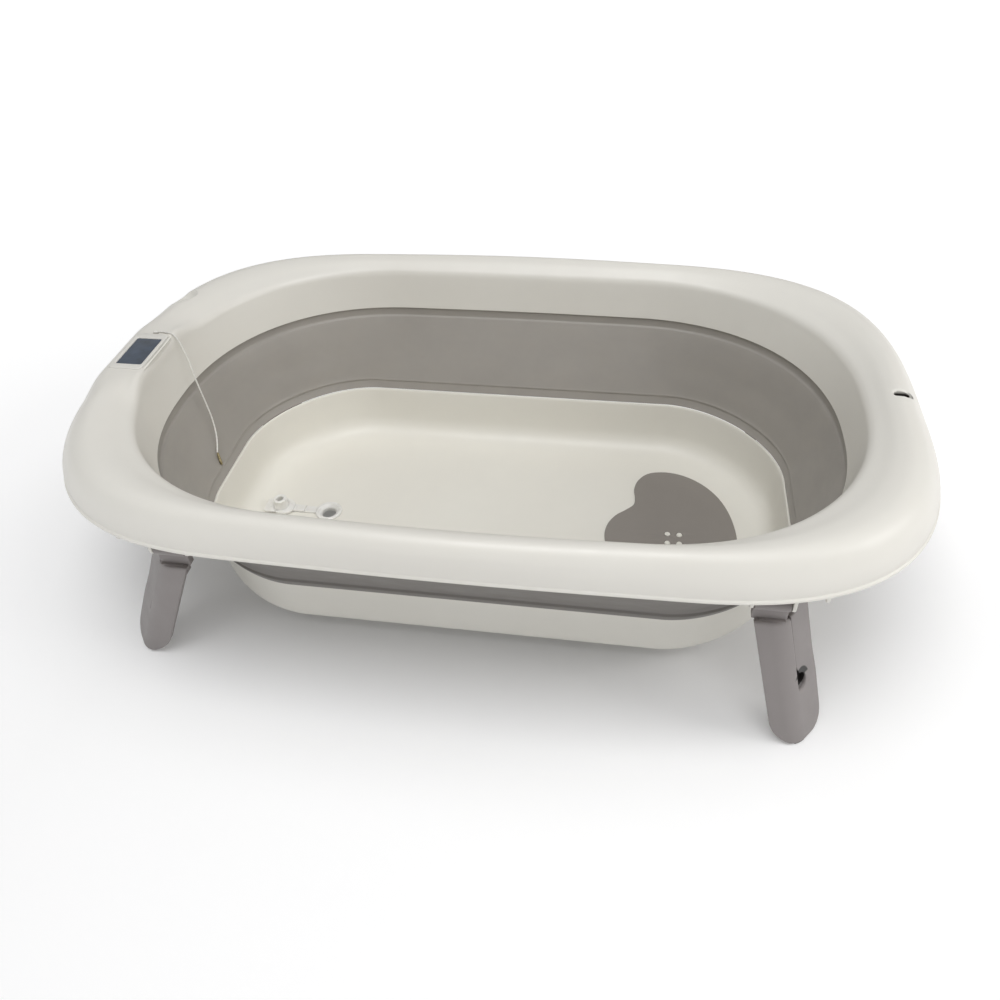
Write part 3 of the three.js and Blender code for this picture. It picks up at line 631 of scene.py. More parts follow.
def sliced(me, cuts):
    """Adds edges where planes cross the mesh; cuts: list of (axis, position)."""
    bm = bmesh.new()
    bm.from_mesh(me)
    for axis, pos in cuts:
        no = [0, 0, 0]
        no[axis] = 1
        co = [0, 0, 0]
        co[axis] = pos
        bmesh.ops.bisect_plane(bm, geom=bm.verts[:] + bm.edges[:] + bm.faces[:], dist=1e-4, plane_co=co, plane_no=no)
    bm.to_mesh(me)
    bm.free()
    me.update()
    return me


def mapped(me, fn):
    co = np.empty(len(me.vertices) * 3)
    me.vertices.foreach_get("co", co)
    co = fn(co.reshape(-1, 3))
    me.vertices.foreach_set("co", np.ascontiguousarray(co, float).ravel())
    me.update()
    return me


def piece(name, me, mat, body, replaces=(), angle=35.0, blend=None):
    orient(me)
    me.name = name
    me.polygons.foreach_set("use_smooth", [True] * len(me.polygons))
    me.set_sharp_from_angle(angle=math.radians(angle))
    me.materials.clear()
    me.materials.append(mat)
    o = link(name, me)
    if blend:
        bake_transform(o)
    else:
        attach(o, body)
    if replaces:
        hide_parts(*replaces)
    return o


# ------------------------------------------------------------------ the probe lead: the one free cord
ROUTE = [
    (-365.6, 33.6, 239.3), (-361.8, 33.7, 239.8), (-357.6, 33.3, 239.9), (-350.6, 32.7, 238.8), (-345.4, 31.4, 234.0), (-341.9, 29.5, 227.9),
    (-339.2, 27.4, 221.3), (-336.6, 25.2, 214.9), (-334.5, 23.0, 208.2), (-332.7, 20.9, 201.3), (-331.2, 19.0, 194.3),
    (-329.7, 17.4, 187.2), (-328.1, 16.0, 180.1), (-326.5, 14.8, 173.0), (-324.9, 13.6, 165.9), (-323.4, 12.3, 158.9),
    (-321.8, 10.7, 152.1), (-320.3, 8.7, 145.4), (-318.9, 6.2, 138.9), (-317.5, 3.0, 132.7), (-316.2, -1.0, 126.7),
    (-315.1, -6.0, 121.1), (-314.1, -11.7, 116.0),
]
TIP_END = np.array([-309.5, -18.0, 103.2])
WIRE_D, TIP_R = 1.8, 1.5


def catmull(points, per):
    P = np.asarray(points, float)
    P = np.vstack([2 * P[0] - P[1], P, 2 * P[-1] - P[-2]])
    out = []
    for i in range(1, len(P) - 2):
        p0, p1, p2, p3 = P[i - 1:i + 3]
        t0 = 0
        t1 = np.linalg.norm(p1 - p0) ** 0.5
        t2 = t1 + np.linalg.norm(p2 - p1) ** 0.5
        t3 = t2 + np.linalg.norm(p3 - p2) ** 0.5
        for k in range(per):
            t = t1 + (t2 - t1) * k / per
            a1 = (t1 - t) / (t1 - t0) * p0 + (t - t0) / (t1 - t0) * p1
            a2 = (t2 - t) / (t2 - t1) * p1 + (t - t1) / (t2 - t1) * p2
            a3 = (t3 - t) / (t3 - t2) * p2 + (t - t2) / (t3 - t2) * p3
            b1 = (t2 - t) / (t2 - t0) * a1 + (t - t0) / (t2 - t0) * a2
            b2 = (t3 - t) / (t3 - t1) * a2 + (t - t1) / (t3 - t1) * a3
            out.append((t2 - t) / (t2 - t1) * b1 + (t - t1) / (t2 - t1) * b2)
    out.append(P[-2])
    return np.array(out)


def frames_along(path):
    """Rotation-minimising side vectors along a path."""
    T = np.gradient(path, axis=0)
    T /= np.linalg.norm(T, axis=1)[:, None]
    n = np.cross(T[0], [0, 0, 1.0])
    n /= np.linalg.norm(n)
    out = [n]
    for i in range(1, len(path)):
        n = out[-1] - T[i] * (out[-1] @ T[i])
        out.append(n / np.linalg.norm(n))
    N = np.array(out)
    return T, N, np.cross(T, N)


wire_path = catmull(ROUTE, 6)
T, N, B = frames_along(wire_path)
along = np.concatenate([[0], np.cumsum(np.linalg.norm(np.diff(wire_path, axis=0), axis=1))])
rows = []
SIDES = 20
for i in range(len(wire_path)):
    # two cores lie twisted under one thin sheath, so the section is a turning oval
    th = np.arange(SIDES) * 2 * math.pi / SIDES
    turn = along[i] / 4.4 * math.pi
    rad = WIRE_D / 2 * (0.90 + 0.10 * np.cos(2 * (th - turn)))
    rows.append((wire_path[i] + N[i] * (rad * np.cos(th))[:, None] + B[i] * (rad * np.sin(th))[:, None]) * MM)
dense_rows = []
for i in range(len(rows) - 1):
    dense_rows.append(rows[i])
dense_rows.append(rows[-1])
me = loft("probe_lead", dense_rows, cap_start=True, cap_end=True)
lead = piece("probe_lead", me, MAT["white"], "rim", ["probe_wire"], angle=70)

# the probe: crimped neck, turned sleeve with grooves, rounded end
a = wire_path[-1]
axis = TIP_END - a
total = np.linalg.norm(axis)
axis /= total
side = np.cross(axis, [0, 0, 1.0])
side /= np.linalg.norm(side)
other = np.cross(axis, side)
L = total - 0.9
prof = [(0.95, 0.0), (1.18, 0.12), (1.25, 0.4), (1.25, 1.3), (1.12, 1.6), (1.12, 1.9), (1.36, 2.2), (1.5, 2.45), (1.5, 4.2), (1.34, 4.4), (1.34, 4.75), (1.5, 4.95),
        (1.5, 6.6), (1.34, 6.8), (1.34, 7.15), (1.5, 7.35), (1.5, L - 3.2), (1.46, L - 2.4), (1.32, L - 1.5), (1.02, L - 0.75), (0.6, L - 0.2), (0.2, L)]
th = np.arange(28) * 2 * math.pi / 28
rows = [((a + axis * (0.9 + h)) + side * (r * np.cos(th))[:, None] + other * (r * np.sin(th))[:, None]) * MM for r, h in prof]
tip = piece("probe_sleeve", loft("probe_sleeve", rows, cap_start=True, cap_end=True), MAT["brass"], "rim", ["probe_tip"], angle=40)

# ------------------------------------------------------------------ rim moulding
# half length, half width, height, corner radius, corner exponent, bow, height at the thermometer boss
RIM_KEYS = [
    [405.3, 243.1, 200.35, 226.0, 2.58, 2.2, 200.35],
    [405.9, 243.7, 200.0, 226.0, 2.58, 2.2, 200.0],
    [407.2, 245.0, 200.0, 226.0, 2.58, 2.2, 200.0],
    [407.85, 245.65, 200.45, 226.0, 2.58, 2.2, 200.45],
    [408.0, 245.8, 201.4, 226.0, 2.58, 2.2, 201.4],
    [408.0, 245.8, 202.5, 226.0, 2.58, 2.2, 202.5],
    [407.75, 245.55, 203.2, 226.0, 2.58, 2.25, 203.2],
    [407.05, 245.0, 203.6, 226.0, 2.58, 2.3, 203.6],
    [406.55, 244.75, 204.2, 226.0, 2.58, 2.35, 204.2],
    [406.35, 244.8, 206.0, 226.0, 2.585, 2.5, 206.2],
    [405.5, 244.75, 210.8, 225.6, 2.60, 3.0, 212.0],
    [403.4, 244.3, 216.2, 225.0, 2.62, 3.7, 219.2],
    [400.6, 243.4, 221.0, 224.3, 2.65, 4.4, 226.6],
    [394.6, 241.0, 229.3, 221.9, 2.69, 5.6, 234.6],
    [386.7, 236.8, 236.2, 218.1, 2.69, 6.0, 238.1],
    [377.7, 230.8, 239.4, 216.1, 2.64, 6.0, 238.45],
    [367.1, 222.6, 236.9, 212.7, 2.50, 5.2, 238.45],
    [358.6, 216.6, 231.8, 209.6, 2.35, 4.2, 238.0],
    [355.2, 214.55, 229.7, 208.2, 2.28, 3.8, 238.2],
    [352.83, 213.15, 227.95, 207.25, 2.23, 3.5, 237.6],
    [350.95, 212.1, 225.85, 206.6, 2.20, 3.2, 235.6],
    [349.57, 211.35, 223.4, 206.2, 2.19, 3.05, 232.0],
    [348.7, 210.9, 220.6, 206.05, 2.19, 2.95, 227.6],
    [348.1, 210.6, 217.6, 206.0, 2.19, 2.87, 222.6],
    [347.4, 210.3, 214.5, 206.0, 2.19, 2.8, 217.6],
    [345.6, 209.6, 206.0, 206.0, 2.19, 2.6, 207.2],
    [343.2, 208.5, 193.0, 206.0, 2.19, 2.4, 193.2],
    [341.35, 207.65, 182.8, 206.0, 2.19, 2.2, 182.8],
    [341.2, 207.6, 182.0, 206.0, 2.19, 2.2, 182.0],
    [341.7, 208.1, 181.6, 206.0, 2.19, 2.2, 181.6],
    [343.3, 209.6, 181.6, 207.0, 2.19, 2.2, 181.6],
    [344.2, 210.4, 182.2, 208.0, 2.19, 2.2, 182.2],
    [345.0, 211.0, 185.0, 208.6, 2.19, 2.3, 185.0],
    [348.6, 212.5, 200.5, 209.0, 2.19, 2.6, 201.5],
    [352.2, 214.2, 217.0, 209.0, 2.19, 2.9, 222.5],
    [359.0, 217.8, 227.4, 210.0, 2.28, 4.0, 233.4],
    [368.4, 224.4, 233.2, 213.0, 2.46, 5.0, 235.2],
    [378.0, 230.8, 236.0, 215.0, 2.62, 5.8, 235.2],
    [385.3, 235.0, 233.2, 217.0, 2.66, 5.8, 234.6],
    [391.8, 238.6, 226.8, 219.0, 2.67, 5.4, 231.0],
    [397.6, 240.6, 219.6, 221.0, 2.62, 4.2, 223.2],
    [401.6, 241.6, 211.4, 223.0, 2.58, 3.0, 212.6],
    [403.9, 242.3, 204.0, 224.0, 2.58, 2.4, 204.0],
    [404.8, 242.6, 201.0, 225.0, 2.58, 2.2, 201.0],
]
RIM_STEP = [0.7] * 9 + [2.6, 2.6, 2.4, 2.4, 1.7, 1.3, 1.3, 1.9, 1.2] + [1.0] * 5 + [1.6, 3.5, 4.5, 4.5] + [0.8] * 4 + [5, 6, 5, 4, 4, 4, 4, 4, 4, 4, 4, 3, 3]


def rim_spacing(x, y):
    s = np.full(len(x), 4.4)
    s = np.where((x > 300) & (np.abs(y + 3) < 14), 1.3, s)
    s = np.where((x < -300) & (np.abs(y + 2.5) < 46), 2.4, s)
    s = np.where((x < -330) & (y > 88) & (y < 158), 1.8, s)
    return s


def build_rim():
    keys = spline(RIM_KEYS + [RIM_KEYS[0]], RIM_STEP[:len(RIM_KEYS)])[:-1]
    w = samples((378, 231, 216, 2.62, 5.5), rim_spacing)
    rows = []
    for k in keys:
        p = ring_row(w, k)
        # level the top round the thermometer
        blend = (1 - smoothstep(np.abs(p[:, 1] + 2.5), 38, 84)) * (p[:, 0] < 0)
        p[:, 2] += (k[6] - k[2]) * blend
        rows.append(p)
    P = np.stack(rows)  # rows, n, 3
    return keys, w, P


keys, w_rim, P = build_rim()
UNDER0 = next(i for i, k in enumerate(keys) if k[0] < 342.2 and k[2] <= 181.61)  # rows past here are the underside

# soft dished scallop in the far left corner, where a hand lifts the rim
SC_C = np.array([-375.0, 119.0, 242.0])
SC_TURN = -0.33


def scallop(P, grow):
    d = P - SC_C
    c, s = math.cos(-SC_TURN), math.sin(-SC_TURN)
    qx = d[..., 0] * c - d[..., 1] * s
    qy = d[..., 0] * s + d[..., 1] * c
    A, Cq = 17.0 + grow, 12.0 + grow
    Bq = np.where(qy > 0, 10.0, 24.0) + grow
    k = 1 - (qx / A) ** 2 - (qy / Bq) ** 2
    bottom = SC_C[2] - Cq * np.sqrt(np.clip(k, 0, None))
    # soft minimum of the skin and the dish
    h = 1.6
    z = P[..., 2]
    dz = np.where(k > 0, bottom - z, 50.0)
    m = np.clip(0.5 + 0.5 * dz / h, 0, 1)
    new = bottom * (1 - m) + z * m - h * m * (1 - m)
    P[..., 2] = np.where((k > 0) & (P[..., 2] > 205), np.minimum(z, new), z)
    return P


P[:UNDER0] = scallop(P[:UNDER0], 0.0)
P[UNDER0:] = scallop(P[UNDER0:], 2.6)

# hanging hole: roll the edge of the slot down into it
HANG = (379.0, -3.0, 14.0, 8.0)


def slot_distance(x, y):
    h = (HANG[2] - HANG[3]) / 2
    dx = np.maximum(np.abs(x - HANG[0]) - h, 0)
    return np.hypot(dx, y - HANG[1]) - HANG[3] / 2


d = slot_distance(P[:UNDER0, :, 0], P[:UNDER0, :, 1])
roll = 2.2
drop = np.where(d < roll, roll - np.sqrt(np.clip(roll ** 2 - (roll - np.clip(d, 0, roll)) ** 2, 0, None)), 0.0)
P[:UNDER0, :, 2] -= np.where(P[:UNDER0, :, 0] > 0, drop * 0.85, 0)

rim_me = mesh_from("rim", (P.reshape(-1, 3) * MM), grid_faces(len(P), P.shape[1], True).tolist())
orient(rim_me)

T_X, T_Y, T_W, T_L, T_TOP, T_FLOOR, T_CLEAR, BOSS = -370.0, -2.5, 36.0, 67.0, 239.0, 216.5, 0.35, 238.4


def rr_fn(w, l, r):
    return lambda inset, n: rounded_rect(w - 2 * inset, l - 2 * inset, max(0.3, r - inset), n)


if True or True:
    rim_me = cut(rim_me, orient(fillet_prism("pocket", rr_fn(T_W + 0.7, T_L + 0.7, 5.2), 200, 260, 0.01, 0.01, n=120, steps=1, centre=(T_X, T_Y))))
    g = fillet_prism("slot", rr_fn(6.6, 5.6, 1.2), 235.0, 260, 0.01, 0.01, n=32, steps=1, centre=(T_X + 1.7, T_Y + T_L / 2 + 2.0))
    rim_me = cut(rim_me, orient(g))
    hole = fillet_prism("hang", lambda inset, n: rounded_rect(HANG[2] - 2 * inset, HANG[3] - 2 * inset, HANG[3] / 2 - inset - 0.01, n), 214, 260, 0.01, 0.01, n=72, steps=1, centre=(HANG[0], HANG[1]))
    rim_me = cut(rim_me, orient(hole))

bodies = [rim_me]
# sleeve and floor of the thermometer pocket
N_S = 96
hole_t = np.arange(N_S) * 2 * math.pi / N_S


def rr_ring(w, l, r, z):
    p = rounded_rect(w, l, r, N_S)
    return np.column_stack([p[:, 0] + T_X, p[:, 1] + T_Y, np.full(N_S, z)]) * MM


def circ(r, z, start):
    # start the circle opposite the rounded rectangle's first point
    return np.column_stack([T_X + r * np.cos(start), T_Y + r * np.sin(start), np.full(N_S, z)]) * MM


ang = np.arctan2(rounded_rect(T_W, T_L, 5, N_S)[:, 1], rounded_rect(T_W, T_L, 5, N_S)[:, 0])
sleeve_rows = [rr_ring(T_W + 4.7, T_L + 4.7, 7.2, 236.6), rr_ring(T_W + 4.7, T_L + 4.7, 7.2, 215.3), rr_ring(T_W + 3.7, T_L + 3.7, 6.7, 214.3),
               circ(14.2, 214.1, ang), circ(13.2, 214.6, ang), circ(13.2, 216.0, ang), circ(13.6, 216.5, ang),
               rr_ring(T_W - 0.2, T_L - 0.2, 4.8, 216.5), rr_ring(T_W + 0.7, T_L + 0.7, 5.2, 217.2), rr_ring(T_W + 0.7, T_L + 0.7, 5.2, 236.6)]
bodies.append(loft("sleeve", sleeve_rows, wrap=True))


def rim_under(x):
    """Underside of the rim in the plane X = x: list of (y, z), from the inner wall outwards, with y > 0."""
    out = []
    ww = np.linspace(0, 2, 4001)
    for i in range(UNDER0 + 3, len(keys)):
        X, Y = outline(ww, *[keys[i][j] for j in (0, 1, 3, 4, 5)])
        if X.max() > x > X.min():
            out.append((float(np.interp(-x, -X, Y)), float(keys[i][2])))
    return out


def yz_plate(pts, x0, x1, bevel=0.5):
    """Plate with a (y, z) outline standing between x0 and x1, in metres."""
    me = plate("p", [pts], x0, x1, bevel, res=2)
    return mapped(me, lambda c: np.stack([c[:, 2], c[:, 0], c[:, 1]], 1) * MM)


LEG_Y, LEG_Z = 208.0, 168.0


def up_into(x, y_in, y_out, lift=1.3):
    """The part of the rim's underside between two y values, lifted into the wall."""
    pts = [(y, z + lift * 0.5) for y, z in rim_under(x) if y_in <= y <= y_out]
    return pts


def cheek(x, sign_y, R):
    prof = []
    top = up_into(x + 1.5, LEG_Y - 6, 240)
    y_end = min(236.0, max(p[0] for p in top) - 1.0)
    top = [p for p in top if p[0] <= y_end]
    # from the outer end of the rib back along the underside
    prof.append((y_end, 204.0))
    prof.append((LEG_Y + R + 5, 200.0))
    prof.append((LEG_Y + R, LEG_Z + 18))
    for i in range(0, 25):
        t = -i * math.pi / 24
        prof.append((LEG_Y + R * math.cos(t), LEG_Z + R * math.sin(t)))
    y_in = top[0][0]
    prof.append((LEG_Y - R - 0.4, LEG_Z + 14))
    prof.append((min(y_in, LEG_Y - R - 0.8), top[0][1] - 4))
    prof += top
    return [(sign_y * y, z) for y, z in prof]


def clean(pts):
    out = [pts[0]]
    for p in pts[1:]:
        if math.hypot(p[0] - out[-1][0], p[1] - out[-1][1]) > 0.4:
            out.append(p)
    return out


for sx in (1, -1):
    for sy in (1, -1):
        for x0, x1, R in ((242.9, 245.9, 5.8), (276.0, 279.0, 6.2)):
            pts = clean(cheek(x0, sy, R))
            hole = [(sy * LEG_Y + 3.2 * math.cos(t), LEG_Z + 3.2 * math.sin(t)) for t in np.arange(32) * 2 * math.pi / 32]
            me = plate("cheek", [pts, hole], x0, x1, 0.55, res=2)
            bodies.append(mapped(me, lambda c, sx=sx: np.stack([sx * c[:, 2], c[:, 0], c[:, 1]], 1) * MM))
        # stop rib that the leg opens against
        top = up_into(298.0, 184, 226)
        prof = [(min(225.0, top[-1][0] - 1), 204.5), (221.0, 188.5), (220.0, 187), (216.0, 187), (214.5, 188.5), (top[0][0] + 1.0, 201.0)] + top
        me = plate("stop", [clean([(sy * y, z) for y, z in prof])], 296.5, 299.5, 0.55, res=2)
        bodies.append(mapped(me, lambda c, sx=sx: np.stack([sx * c[:, 2], c[:, 0], c[:, 1]], 1) * MM))

# short sleeve that carries the hanging hole down under the skin
def slot_ring(grow, z):
    p = rounded_rect(HANG[2] + 2 * grow, HANG[3] + 2 * grow, HANG[3] / 2 + grow - 0.01, 60)
    return np.column_stack([p[:, 0] + HANG[0], p[:, 1] + HANG[1], np.full(60, z)]) * MM


bodies.append(loft("hangsleeve", [slot_ring(g, z) for g, z in ((0.02, 236.0), (1.6, 236.0), (1.6, 219.4), (1.3, 218.9), (0.5, 218.9), (0.02, 219.6))], wrap=True))

for m in bodies:
    orient(m)
rim_all = joined("rim_moulding", bodies)
bm = bmesh.new()
bm.from_mesh(rim_all)
bm.to_mesh(rim_all)
bm.free()
me = rim_all
me.polygons.foreach_set("use_smooth", [True] * len(me.polygons))
me.set_sharp_from_angle(angle=math.radians(38))
me.materials.append(MAT["cream"])
rim_o = link("rim_moulding", me)
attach(rim_o, "rim")
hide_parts("rim_shell")

# ------------------------------------------------------------------ soft wall
SOFT_IN = [
    [343.2, 209.5, 181.3, 206.4, 2.19, 2.2],
    [342.9, 209.2, 176.0, 206.0, 2.18, 2.2],
    [342.6, 209.0, 172.6, 205.8, 2.17, 2.1],
    [342.3, 208.7, 171.6, 205.6, 2.16, 2.1],
    [341.5, 207.9, 170.9, 205.4, 2.16, 2.1],
    [340.6, 207.1, 170.2, 205.2, 2.16, 2.1],
    [339.9, 206.4, 168.9, 204.6, 2.16, 2.1],
    [338.2, 204.3, 165.0, 201.0, 2.14, 2.0],
    [332.0, 196.8, 150.6, 185.0, 2.06, 1.7],
    [324.6, 188.0, 133.5, 165.0, 1.98, 1.2],
    [317.6, 179.6, 117.6, 149.0, 1.91, 0.7],
    [311.6, 172.6, 103.8, 134.0, 1.85, 0.3],
    [310.6, 171.4, 101.4, 132.4, 1.84, 0.25],
    [309.9, 170.6, 100.2, 131.8, 1.84, 0.22],
    [309.9, 170.7, 99.0, 131.6, 1.835, 0.2],
    [310.3, 171.1, 98.0, 131.4, 1.83, 0.2],
    [309.9, 170.7, 96.6, 130.8, 1.83, 0.15],
    [308.2, 169.1, 92.6, 129.2, 1.82, 0.05],
    [306.6, 167.6, 89.4, 128.0, 1.81, 0.0],
]
SOFT_IN_STEP = [1.8, 1.2, .6, .6, .6, .8, 1.6, 3.0, 3.0, 3.0, 3.0, 1.2, .7, .6, .6, .8, 1.6, 1.6]


def build_soft():
    inner = spline(SOFT_IN, SOFT_IN_STEP)
    # outer side: thicker bands at the two beads, thin panel between them
    outer = []
    for k in inner:
        z = k[2]
        t = 1.9 + 0.9 * float(smoothstep(z, 169.5, 172.5)) + 0.8 * float(1 - smoothstep(z, 99.0, 102.0))
        if z > 169:
            t = min(t, 345.2 - k[0])
        o = k.copy()
        o[0] += t
        o[1] += t
        o[3] += t
        outer.append(o)
    # fold line beads on the outside, as the wall is hinged there
    rows = []
    w = samples((330, 194, 185, 2.05, 1.5), lambda x, y: np.full(len(x), 4.0))
    for k in list(inner) + list(reversed(outer)):
        rows.append(ring_row(w, k) * MM)
    me = loft("soft_wall", rows, wrap=True)
    out = me.attributes.new("outside", "FLOAT", "POINT")
    out.data.foreach_set("value", [0.0] * (len(inner) * len(w)) + [1.0] * (len(outer) * len(w)))
    return me


soft = piece("bellows_soft_wall", build_soft(), MAT["grey"], None, ["bellows_wall"], angle=50,
             blend=("rim", "base", (0, 0, 0.1813), (0, 0, 0.0893)))

# ------------------------------------------------------------------ base moulding
BASE_IN = [
    [306.6, 167.6, 88.4, 128.4, 1.81],
    [306.0, 167.0, 88.75, 128.0, 1.81],
    [305.4, 166.4, 88.4, 127.4, 1.81],
    [305.0, 166.0, 87.4, 127.0, 1.81],
    [304.2, 165.2, 76.0, 126.6, 1.81],
    [303.2, 164.2, 62.0, 126.0, 1.81],
    [302.4, 163.4, 52.5, 125.6, 1.815],
    [300.9, 161.9, 44.0, 124.6, 1.82],
    [297.4, 158.4, 36.9, 121.6, 1.83],
    [290.6, 151.6, 30.8, 115.4, 1.85],
    [280.0, 141.0, 27.4, 106.4, 1.875],
    [268.0, 129.0, 26.3, 96.6, 1.89],
    [258.0, 119.0, 26.05, 88.0, 1.90],
]
BASE_OUT = [
    [258.0, 119.0, 23.1, 88.0, 1.90],
    [278.0, 139.0, 23.6, 105.0, 1.88],
    [286.0, 147.0, 25.0, 111.6, 1.86],
    [292.6, 153.6, 27.6, 117.0, 1.85],
    [299.0, 160.0, 33.2, 123.0, 1.83],
    [303.2, 164.2, 41.6, 126.4, 1.82],
    [305.0, 166.0, 52.0, 127.8, 1.81],
    [306.0, 167.0, 70.0, 128.6, 1.81],
    [306.8, 167.8, 85.0, 129.0, 1.81],
    [307.3, 168.3, 86.6, 129.4, 1.81],
    [307.3, 168.3, 88.0, 129.4, 1.81],
    [307.0, 168.0, 88.5, 129.2, 1.81],
]


def build_base():
    inner = spline([k + [0] for k in BASE_IN], [0.8] * 3 + [4, 5, 3.4, 3, 2.6, 2.6, 2.6, 3, 3])
    outer = spline([k + [0] for k in BASE_OUT], [5, 3, 3, 3, 3, 3.5, 5, 5, .8, .8, .8])
    w = samples((300, 161, 124, 1.83, 0.0), lambda x, y: np.full(len(x), 4.0))
    rows = [ring_row(w, k) for k in inner]
    floor = ring_row(w, [258.0, 119.0, 26.0, 88.0, 1.90, 0])
    for f in (0.93, 0.84, 0.72, 0.58, 0.42, 0.25, 0.08):
        p = floor.copy()
        p[:, 0] *= f
        p[:, 1] *= f
        p[:, 2] = 26.0
        rows.append(p)
    out_rows = []
    under = ring_row(w, [258.0, 119.0, 23.0, 88.0, 1.90, 0])
    for f in (0.08, 0.3, 0.6, 0.85):
        p = under.copy()
        p[:, 0] *= f
        p[:, 1] *= f
        out_rows.append(p)
    out_rows += [ring_row(w, k) for k in outer]
    return loft("base", [r * MM for r in out_rows + rows], cap_start=True, cap_end=True)


def disc(name, x, y, z0, z1, r, bevel, n=40):
    t = np.arange(n) * 2 * math.pi / n
    return fillet_prism(name, lambda inset, m: np.stack([(r - inset) * np.cos(np.arange(m) * 2 * math.pi / m), (r - inset) * np.sin(np.arange(m) * 2 * math.pi / m)], 1), z0, z1, 0.01, bevel, n=n, steps=4, centre=(x, y))


D = dict(x=-204.0, hole=10.9, bore=8.3, funnel=11.4, tube=10.6, flange=15.5, lower=13.0, hx=-232.8, strap=10.0, capx=-258.5, cupx=-261.6, capr=13.0, cupr=7.95, cupin=4.0, cuptop=42.0, capz=27.0, capt=3.6)
base_me = orient(build_base())
base_me = cut(base_me, orient(disc("drainhole", D["x"], 0, 10, 40, D["hole"], 0.01, n=72)))
pips = [(188.5, 7.0), (201.5, 7.0), (188.5, -7.0), (201.5, -7.0)]
parts = [base_me]
for x, y in pips:
    parts.append(orient(disc("pip", x, y, 25.0, 28.4, 3.1, 0.8, n=36)))
base_all = joined("base_moulding", parts)
piece("base_moulding", base_all, MAT["base"], "base", ["base_tray", "base_wall"], angle=40)

# ------------------------------------------------------------------ floor pad
HALF = [(119, 0), (121.5, 16), (129.5, 31), (141, 42), (149.5, 52), (150.5, 64), (149, 78), (153, 95), (164, 108.5), (180, 113.5), (197, 112.5), (214, 106), (232, 92.5), (247.5, 72), (257.5, 48), (263, 22), (264.5, 0)]
loop = HALF[:-1] + [(x, -y) for x, y in HALF[::-1][:-1]]


def closed_catmull(points, per):
    P = [np.array(p, float) for p in points]
    n = len(P)
    out = []
    for i in range(n):
        p0, p1, p2, p3 = P[i - 1], P[i], P[(i + 1) % n], P[(i + 2) % n]
        t0 = 0
        t1 = np.linalg.norm(p1 - p0) ** 0.5
        t2 = t1 + np.linalg.norm(p2 - p1) ** 0.5
        t3 = t2 + np.linalg.norm(p3 - p2) ** 0.5
        for k in range(per):
            t = t1 + (t2 - t1) * k / per
            a1 = (t1 - t) / (t1 - t0) * p0 + (t - t0) / (t1 - t0) * p1
            a2 = (t2 - t) / (t2 - t1) * p1 + (t - t1) / (t2 - t1) * p2
            a3 = (t3 - t) / (t3 - t2) * p2 + (t - t2) / (t3 - t2) * p3
            b1 = (t2 - t) / (t2 - t0) * a1 + (t - t0) / (t2 - t0) * a2
            b2 = (t3 - t) / (t3 - t1) * a2 + (t - t1) / (t3 - t1) * a3
            out.append((t2 - t) / (t2 - t1) * b1 + (t - t1) / (t2 - t1) * b2)
    return out


pad_pts = [tuple(p) for p in closed_catmull(loop, 5)]
holes = [[(x + 3.5 * math.cos(-t), y + 3.5 * math.sin(-t)) for t in np.arange(32) * 2 * math.pi / 32] for x, y in pips]
pad_me = plate("pad", [pad_pts] + holes, 26.3, 28.0, 0.6, res=3)
pad_me = mapped(pad_me, lambda c: c * MM)
piece("floor_pad_soft", pad_me, MAT["pad"], "base", ["floor_pad"], angle=40)

# ------------------------------------------------------------------ drain seat and cap
seat_prof = round_profile([(8.3, 20.6), (13.0, 20.6), (13.0, 22.7), (10.6, 22.7), (10.6, 26.3), (15.5, 26.3), (15.5, 28.0), (14.6, 28.6), (11.9, 28.6), (8.3, 25.2)],
                          [.4, .5, .4, .3, .3, .4, .5, .6, .9, 1.2], 4)
seat = orient(lathe("seat", seat_prof, (D["x"], 0), n=80))
strap = plate("strap", [round_profile([(D["hx"] + 0.06, -5), (D["x"] - 13.6, -5), (D["x"] - 13.6, 5), (D["hx"] + 0.06, 5)], 0.2, 2)], 26.15, 28.3, 0.2, res=2)
strap = orient(mapped(sliced(strap, [(0, -230 + 2 * i) for i in range(6)]), lambda c: c * MM))
piece("drain_seat_soft", joined("seat", [seat, strap]), MAT["silicone"], "base", ["drain_seat"], angle=40)

cap_parts = []
z0, z1 = D["capz"], D["capz"] + D["capt"]
disc_prof = [(0.02, z0 + 0.3), (12.2, z0), (12.8, z0 + 0.2), (13.0, z0 + 0.8), (13.0, z1 - 0.7), (12.8, z1 - 0.2), (12.3, z1), (0.02, z1)]
t = np.arange(72) * 2 * math.pi / 72
rows = [np.stack([D["capx"] + r * np.cos(t), r * np.sin(t), np.full(72, z)], 1) * MM for r, z in disc_prof]
cap_parts.append(loft("capdisc", rows, cap_start=True, cap_end=True))
cup_prof = round_profile([(D["cupin"], z1 - 0.8), (D["cupr"] + 0.5, z1 - 0.8), (D["cupr"] + 0.5, z1 + 0.9), (D["cupr"] - 0.1, z1 + 1.8), (D["cupr"] - 0.5, D["cuptop"] - 2.6), (D["cupr"], D["cuptop"] - 1.8), (D["cupr"], D["cuptop"] - 0.9),
                          (D["cupr"] - 1.2, D["cuptop"]), (D["cupin"] + 0.8, D["cuptop"]), (D["cupin"], D["cuptop"] - 1.0)], [.1, .3, .6, .8, .6, .5, .6, .8, .6, .5], 4)
cap_parts.append(lathe("cup", cup_prof, (D["cupx"], 0), n=64))
arm = plate("arm", [round_profile([(D["capx"] + 10, -5), (D["hx"] - 0.06, -5), (D["hx"] - 0.06, 5), (D["capx"] + 10, 5)], 0.2, 2)], 26.4, 29.6, 0.2, res=2)
cap_parts.append(mapped(arm, lambda c: c * MM))
